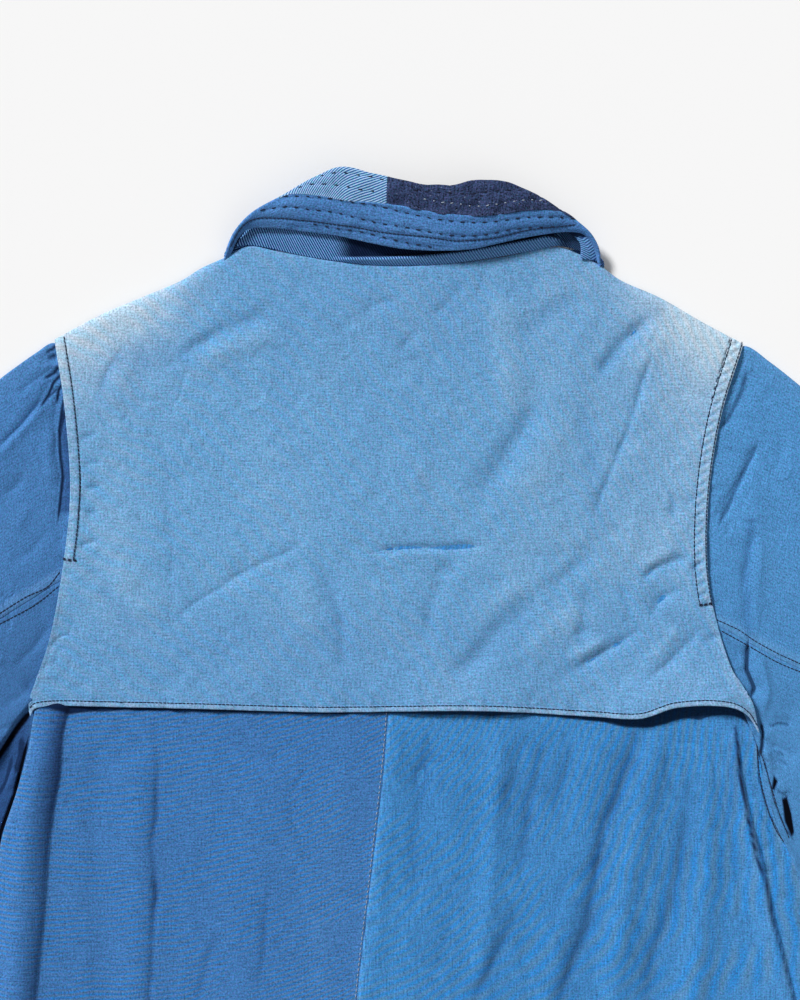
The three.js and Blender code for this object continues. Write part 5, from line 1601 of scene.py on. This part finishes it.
def twill(name, furrow, rib, dark, pitch, slant):
    cloth = Cloth(name, sheen=0.02, gloss=0.05)
    ribs = cloth.group(TWILL, Pitch=pitch, Slant=slant)["Rib"]
    weave = cloth.group(WEAVE, Warp_Streaks=0.2, Weft_Streaks=0.2, Grain=0.7)
    color = cloth.worn_and_shaded(weave, cloth.w.blend(ribs, srgb(*furrow), srgb(*rib)), rib, dark, 0.2)
    return cloth.finish(color, ribs, 0.00025)


def slub_navy(name):
    cloth = Cloth(name, roughness=0.93, sheen=0.05, gloss=0.1)
    weave = cloth.group(WEAVE, Warp_Streaks=1.4, Weft_Streaks=1.1, Grain=3.8)
    base = cloth.worn_and_shaded(weave, srgb(47, 60, 94), (84, 98, 134), (30, 40, 70), 0.5)
    fleck = cloth.w.ramp(cloth.w.noise(cloth.cloth, (420.0, 1100.0)), 0.68, 0.76)
    color = cloth.w.blend(cloth.w.math("MULTIPLY", fleck, 0.55), base, srgb(150, 160, 188))
    return cloth.finish(color, weave["Height"], 0.0002)


def plain(name, color, roughness):
    """Thread or button: one colour, a little uneven in all directions."""
    cloth = Cloth(name, roughness=roughness)
    position = cloth.w.node("ShaderNodeTexCoord", {})["Object"]
    place = cloth.w.node("ShaderNodeMapping", {"Vector": position, "Scale": (900.0, 900.0, 900.0)})[0]
    grain = cloth.w.node("ShaderNodeTexNoise", {"Vector": place, "Scale": 1.0, "Detail": 2.0})["Fac"]
    deeper = tuple(0.7 * c for c in srgb(*color)[:3]) + (1.0,)
    return cloth.finish(cloth.w.blend(grain, deeper, srgb(*color)), grain, 0.00005)


# Colours as they look, 0 to 255: body, pale and dark for indigo, and furrow, rib and dark for twill. Dark is
# also the colour that painted shade blends towards.
MATERIALS = {
    "back_left": indigo(
        "indigo_back_left", (59, 113, 173), (98, 150, 200), (24, 56, 106), warp=0.5, weft=0.8, grain=1.8,
        bars=0.04, mottle=0.2, watered=(0.38, (162.0, -300.0, 0.0), (348.0, 0.0, 0.0)),
    ),
    "back_right": indigo(
        "indigo_back_right", (61, 130, 191), (104, 160, 210), (28, 70, 124), warp=0.9, weft=0.5, mottle=0.3,
        watered=(0.3, (382.0, -158.0, 0.0), (0.0, 658.0, 0.0)),
    ),
    "yoke": indigo(
        "indigo_yoke", (103, 157, 203), (178, 203, 222), (74, 126, 180), mottle=0.5,
        watered=(0.075, (-104.0, -90.0, 0.0), (-125.0, 0.0, 0.0)),
    ),  # fmt: skip
    "sleeve_left": indigo("indigo_sleeve_left", (66, 120, 178), (104, 152, 200), (28, 66, 120), grain=1.8),
    "sleeve_right": indigo("indigo_sleeve_right", (74, 137, 193), (112, 165, 210), (32, 78, 132), grain=1.8),
    "band": indigo("indigo_band", (75, 129, 192), (104, 152, 200), (36, 70, 118), grain=2.2),
    "light_twill": twill("light_twill", (40, 92, 154), (162, 202, 236), (30, 70, 130), 0.00257, 1.54),
    "stand_twill": twill("stand_twill", (10, 52, 122), (122, 178, 234), (4, 18, 50), 0.0018, 0.62),
    "navy": slub_navy("navy_slub"),
    "thread_dark": plain("thread_dark", (26, 34, 62), 0.8),
    "thread_pale": plain("thread_pale", (168, 182, 200), 0.8),
    "button": plain("button_face", (34, 42, 60), 0.45),
}


# ---- Placing the pieces ----


pieces = {}
objects = {}
LEAST_SHARE = 0.31  # a cut piece fills at least this much of its flat size


def place(key, piece, node, slot, material, size, rests_on, thickness=CLOTH):
    """Makes the piece, gives it its finish, and hides the part that it stands for."""
    obj = piece.shell(thickness)
    obj.data.materials.append(MATERIALS[material])
    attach(obj, "root")
    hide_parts(node)
    width, length = (side * MM for side in size)
    area = min(sum(p.area for p in obj.data.polygons) / 2, width * length)
    area = max(area, LEAST_SHARE * width * length)
    pieces[key], objects[key] = piece, obj


for side in SIDES:
    front, back = front_piece(side), back_piece(side)
    upper, under = upper_sleeve_piece(side), under_sleeve_piece(side)
    body, sleeve = f"back_{side}", f"sleeve_{side}"
    place(f"front_{side}", front, f"front_{side}", "indigo_cloth", body, (290, 745), ["floor"])
    place(f"back_{side}", back, f"back_{side}", "indigo_cloth", body, (315, 750), [f"front_{side}_cloth"])
    place(f"upper_{side}", upper, f"sleeve_upper_{side}", "sleeve_cloth", sleeve, (440, 640), ["floor"])
    upper_name = f"sleeve_upper_{side}_cloth"
    place(f"under_{side}", under, f"sleeve_under_{side}", "sleeve_cloth", sleeve, (180, 560), [upper_name])
    leaf_material, leaf_slot = ("light_twill", "light_twill") if side == "left" else ("navy", "navy_cloth")
    leaf = leaf_piece(side)
    place(f"leaf_{side}", leaf, f"collar_leaf_{side}", leaf_slot, leaf_material, (125, 125), ["floor"])

light_ends = (WRAP_LEFT - PATCH_TUCK, PATCH_JOIN - JOIN_GAP)
navy_ends = (PATCH_JOIN + JOIN_GAP, WRAP_RIGHT + PATCH_TUCK)
backs, yoke_name = ["back_left_cloth", "back_right_cloth"], ["back_yoke_cloth"]
stand_name, beneath = ["collar_stand_cloth"], ["collar_under_cloth"]
light_patch = patch_piece("collar_patch_light_cloth", *light_ends, 121)
navy_patch = patch_piece("collar_patch_navy_cloth", *navy_ends, 171)
for key, piece, node, slot, material, size, rests_on, thickness in (
    ("yoke", yoke_piece(), "back_yoke", "faded_cloth", "yoke", (485, 320), backs, CLOTH),
    ("stand", stand_piece(), "collar_stand", "blue_twill", "stand_twill", (560, 60), yoke_name, COLLAR_CLOTH),
    ("under", under_collar_piece(), "collar_under", "blue_twill", "stand_twill", (280, 36), stand_name,
     COLLAR_CLOTH),
    ("light", light_patch, "collar_patch_light", "light_twill", "light_twill", (130, 30), beneath,
     COLLAR_CLOTH),
    ("navy", navy_patch, "collar_patch_navy", "navy_cloth", "navy", (160, 36), beneath, COLLAR_CLOTH),
    ("band", band_piece(), "collar_band", "band_cloth", "band", (300, 30), beneath, COLLAR_CLOTH),
):  # fmt: skip
    place(key, piece, node, slot, material, size, rests_on, thickness)

for k in range(1, 6):
    node = bpy.data.objects[f"button_{k}"]
    node.data.materials.clear()
    node.data.materials.append(MATERIALS["button"])


# ---- Stitches ----


def build_stitch_tree():
    """Lays one thread stitch after another along every line it is given."""
    group, w, given, result = new_group(
        "stitch_row",
        [
            ("Geometry", "NodeSocketGeometry", None),
            ("Pitch", FLOAT, 0.003),
            ("Stitch Length", FLOAT, 0.0024),
            ("Thickness", FLOAT, 0.0006),
            ("Scatter", FLOAT, 0.06),
            ("Uneven", FLOAT, 0.1),
            ("Seed", "NodeSocketInt", 1),
            ("Thread", "NodeSocketMaterial", None),
        ],
        [("Geometry", "NodeSocketGeometry")],
        "GeometryNodeTree",
    )

    def between(low, high):
        """A random number for each stitch."""
        values = {2: low, 3: high, "Seed": given["Seed"]}
        return w.node("FunctionNodeRandomValue", values, data_type="FLOAT")[1]

    curve = w.node("GeometryNodeMeshToCurve", {"Mesh": given["Geometry"]})["Curve"]
    points = w.node("GeometryNodeCurveToPoints", {"Curve": curve, "Length": given["Pitch"]}, mode="LENGTH")
    along = w.node("FunctionNodeAlignRotationToVector", {"Vector": points["Tangent"]}, axis="X")[0]
    askew = between(w.math("MULTIPLY", given["Scatter"], -1), given["Scatter"])
    askew = w.node("FunctionNodeAxisAngleToRotation", {"Angle": askew})[0]
    turned = w.node("FunctionNodeRotateRotation", {0: along, 1: askew})[0]
    bead = w.node("GeometryNodeMeshUVSphere", {"Segments": 6, "Rings": 5, "Radius": 0.5})["Mesh"]
    size = w.joined(given["Stitch Length"], given["Thickness"], given["Thickness"])
    bead = w.node("GeometryNodeTransform", {"Geometry": bead, "Scale": size})[0]
    stretch = between(w.math("SUBTRACT", 1, given["Uneven"]), w.math("ADD", 1, given["Uneven"]))
    values = {
        "Points": points["Points"], "Instance": bead, "Rotation": turned, "Scale": w.joined(stretch, 1, 1),
    }  # fmt: skip
    rows = w.node("GeometryNodeInstanceOnPoints", values)[0]
    rows = w.node("GeometryNodeRealizeInstances", {0: rows})[0]
    rows = w.node("GeometryNodeSetShadeSmooth", {"Geometry": rows})[0]
    rows = w.node("GeometryNodeSetMaterial", {"Geometry": rows, "Material": given["Thread"]})[0]
    w.put(result[0], rows)
    return group


STITCH_TREE = build_stitch_tree()
RAY_START = 0.2  # a height above every piece, in metres
DOWN = Vector((0, 0, -1))
surfaces = {}


def surface_of(key):
    if key not in surfaces:
        surfaces[key] = BVHTree.FromObject(objects[key], bpy.context.evaluated_depsgraph_get())
    return surfaces[key]


def above(line, lowest):
    """The part of a line that lies nearer the collar than its lowest y."""
    return line[line[:, 1] > lowest]


def dropped(line, keys, lift=0.12, step_length=1.0):
    """A line, given in plan, laid on the highest of some pieces under it. What misses them is left out."""
    curve = Line(line)
    flat = curve.at(np.linspace(0, 1, max(2, int(curve.length / step_length))))
    laid = []
    for x, y, _ in flat:
        start = Vector(((x + ORIGIN[0]) * MM, (y + ORIGIN[1]) * MM, RAY_START))
        hits = (surface_of(key).ray_cast(start, DOWN)[0] for key in keys)
        heights = [hit.z for hit in hits if hit]
        if heights:
            laid.append((x, y, max(heights) / MM + lift))
    return np.array(laid)


def inside_armhole(side):
    """The row of stitches that holds the flap down beside its armhole edge."""
    edge = Line(YOKE_SIDE[side]).at(np.linspace(0, 1, 90))[:, :2]
    run = np.gradient(edge, axis=0)
    run /= np.linalg.norm(run, axis=1, keepdims=True)
    row = edge + SIGN[side] * FLAP_STITCH_INSET[side] * np.stack([run[:, 1], -run[:, 0]], axis=1)
    return dropped(above(row, FLAP_STITCH_END[side]), ["yoke"], 0.3)


def stitched(name, lines, thread, pitch, length, thickness, scatter, seed, uneven=0.1):
    """Rows of stitches of one thread, made as one piece. Sizes are in millimetres, and scatter in radians."""
    lines = [line for line in lines if len(line) > 2]
    points = np.vstack(lines)
    edges, done = [], 0
    for line in lines:
        edges += [(done + k, done + k + 1) for k in range(len(line) - 1)]
        done += len(line)
    path = bpy.data.meshes.new(name + "_path")
    path.from_pydata(((points + ORIGIN) * MM).tolist(), edges, [])
    guide = bpy.data.objects.new(name + "_guide", path)
    bpy.context.scene.collection.objects.link(guide)
    modifier = guide.modifiers.new("Stitches", "NODES")
    modifier.node_group = STITCH_TREE
    values = {
        "Pitch": pitch * MM, "Stitch Length": length * MM, "Thickness": thickness * MM, "Scatter": scatter,
        "Uneven": uneven, "Seed": seed, "Thread": MATERIALS[thread],
    }  # fmt: skip
    for item in STITCH_TREE.interface.items_tree:
        if item.in_out == "INPUT" and item.name in values:
            modifier[item.identifier] = values[item.name]
    guide.update_tag()
    bpy.context.view_layer.update()
    made = bpy.data.meshes.new_from_object(guide.evaluated_get(bpy.context.evaluated_depsgraph_get()))
    bpy.data.objects.remove(guide)
    made.name = name
    obj = bpy.data.objects.new(name, made)
    bpy.context.scene.collection.objects.link(obj)
    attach(obj, "root")
    return obj


yoke = pieces["yoke"]
# Each row beside an armhole ends in a bar of two short rows across the strip.
FLAP_TACKS = [
    [(-219.5, -189), (-216, -190), (-211, -190.5)],
    [(-219.5, -189.8), (-216, -190.8), (-211, -191.2)],
    [(196.5, -219.4), (200, -219), (202.5, -218.4)],
    [(196.5, -220.2), (200, -219.8), (202.5, -219.2)],
]
left_seam_upper = [(-222, -199.5), (-229, -208), (-242.6, -214.5), (-259.4, -225)]
left_seam_lower = [(-223, -208.6), (-237, -219.7), (-259.4, -232)]
right_seam_upper = [(207, -229.5), (221, -236), (231.4, -243), (245.7, -251), (261, -258)]
right_seam_lower = [(211, -237.3), (227.5, -246.4), (245.7, -256.8), (261, -263.3)]
armhole_lower_right = [(233, -309), (235, -330), (241, -355), (249, -372), (257, -379)]
armhole_upper_right = [(236, -316), (242, -336), (248, -356), (254, -371)]
stitched(
    "topstitching_dark",
    [
        inside_armhole("left"),
        inside_armhole("right"),
        above(yoke.inset("right", 0.8, 0.75), FLAP_STITCH_END["right"]),
        yoke.inset("bottom", HEM_STITCH_INSET - 0.6, 0.8, 0.012, 0.99),
        *[dropped(tack, ["yoke"], 0.3, 0.7) for tack in FLAP_TACKS],
        dropped(left_seam_upper, ["upper_left", "under_left"]),
        dropped(left_seam_lower, ["upper_left", "under_left"]),
        dropped(right_seam_upper, ["upper_right", "under_right"]),
        dropped(right_seam_lower, ["upper_right", "under_right"]),
        dropped(armhole_lower_right, ["back_right"]),
        dropped(armhole_upper_right, ["back_right", "under_right"]),
        dropped(BAND_ROWS["edge"], ["band"], 0.05),
    ],
    "thread_dark", pitch=2.6, length=2.8, thickness=0.78, scatter=0.05, seed=3,
)  # fmt: skip
stitched(
    "running_stitches_dark",
    [
        *[dropped(BAND_ROWS[key], ["band"], 0.1, 0.5) for key in ("under the patches", "middle", "low")],
        *[dropped(row, ["light"], 0.1, 0.5) for key, row in PATCH_ROWS.items() if key.startswith("light")],
        dropped(PATCH_ROWS["navy, upper"], ["navy"], 0.1, 0.5),
    ],
    "thread_dark", pitch=7.1, length=3.2, thickness=0.95, scatter=0.14, uneven=0.22, seed=7,
)  # fmt: skip
stitched(
    "running_stitches_pale",
    [dropped(PATCH_ROWS["navy, lower"], ["navy"], 0.15, 0.5)],
    "thread_pale", pitch=5.6, length=2.0, thickness=0.8, scatter=0.35, uneven=0.4, seed=9,
)  # fmt: skip
stitched(
    "topstitching_pale",
    [dropped([(x - 1.3, y) for x, y in CENTRE_BACK[1:]], ["back_left"], 0.05)],
    "thread_pale", pitch=3.4, length=2.5, thickness=0.6, scatter=0.15, uneven=0.2, seed=5,
)  # fmt: skip


# ---- Stage ----

FRAME_CENTRE = (0.65, -151.5)  # the middle of the view, in the cutter's frame
FRAME_HEIGHT = 650  # how much of the jacket's length the view takes in, at the cloth's level
CLOTH_LEVEL = 8
LENS = 85
SENSOR = 36
WHITE = (1.0, 1.0, 1.0, 1)
FLOOR_GREY = (0.92, 0.92, 0.92, 1)
SKY_STRENGTH = 0.25
LAMP_DISTANCE = 3


def stage():
    bpy.ops.mesh.primitive_plane_add(size=8, location=(0, 0, -0.0006))
    floor = bpy.context.object
    floor.name = "floor"
    material = bpy.data.materials.new("floor_white")
    material.use_nodes = True
    shader = material.node_tree.nodes["Principled BSDF"]
    shader.inputs["Base Color"].default_value = FLOOR_GREY
    shader.inputs["Roughness"].default_value = 1.0
    shader.inputs["Specular IOR Level"].default_value = 0.0
    floor.data.materials.append(material)

    world = bpy.data.worlds.new("studio")
    bpy.context.scene.world = world
    world.use_nodes = True
    background = world.node_tree.nodes["Background"]
    background.inputs["Color"].default_value = WHITE
    background.inputs["Strength"].default_value = SKY_STRENGTH

    aim = Vector((FRAME_CENTRE[0] * MM, (FRAME_CENTRE[1] + ORIGIN[1]) * MM, 0))
    # direction the light comes from, its angular size in degrees, and how brightly it lights a flat surface
    for name, source, spread, brightness in (
        ("key", (-1.15, 1.25, 1.2), 13, 0.70),
        ("fill", (1.2, -0.9, 1.9), 50, 0.06),
    ):
        towards = Vector(source).normalized()
        light = bpy.data.lights.new(name, "SUN")
        light.angle = math.radians(spread)
        light.energy = brightness * math.pi / towards.z
        lamp = bpy.data.objects.new(name, light)
        lamp.location = aim + towards * LAMP_DISTANCE
        lamp.rotation_euler = (-towards).to_track_quat("-Z", "Y").to_euler()
        bpy.context.scene.collection.objects.link(lamp)

    camera_data = bpy.data.cameras.new("camera")
    camera_data.lens = LENS
    camera_data.sensor_width = SENSOR
    camera = bpy.data.objects.new("camera", camera_data)
    camera.location = aim + Vector((0, 0, FRAME_HEIGHT * MM * LENS / SENSOR + CLOTH_LEVEL * MM))
    bpy.context.scene.collection.objects.link(camera)
    bpy.context.scene.camera = camera
    bpy.context.scene.view_settings.view_transform = "Standard"


stage()
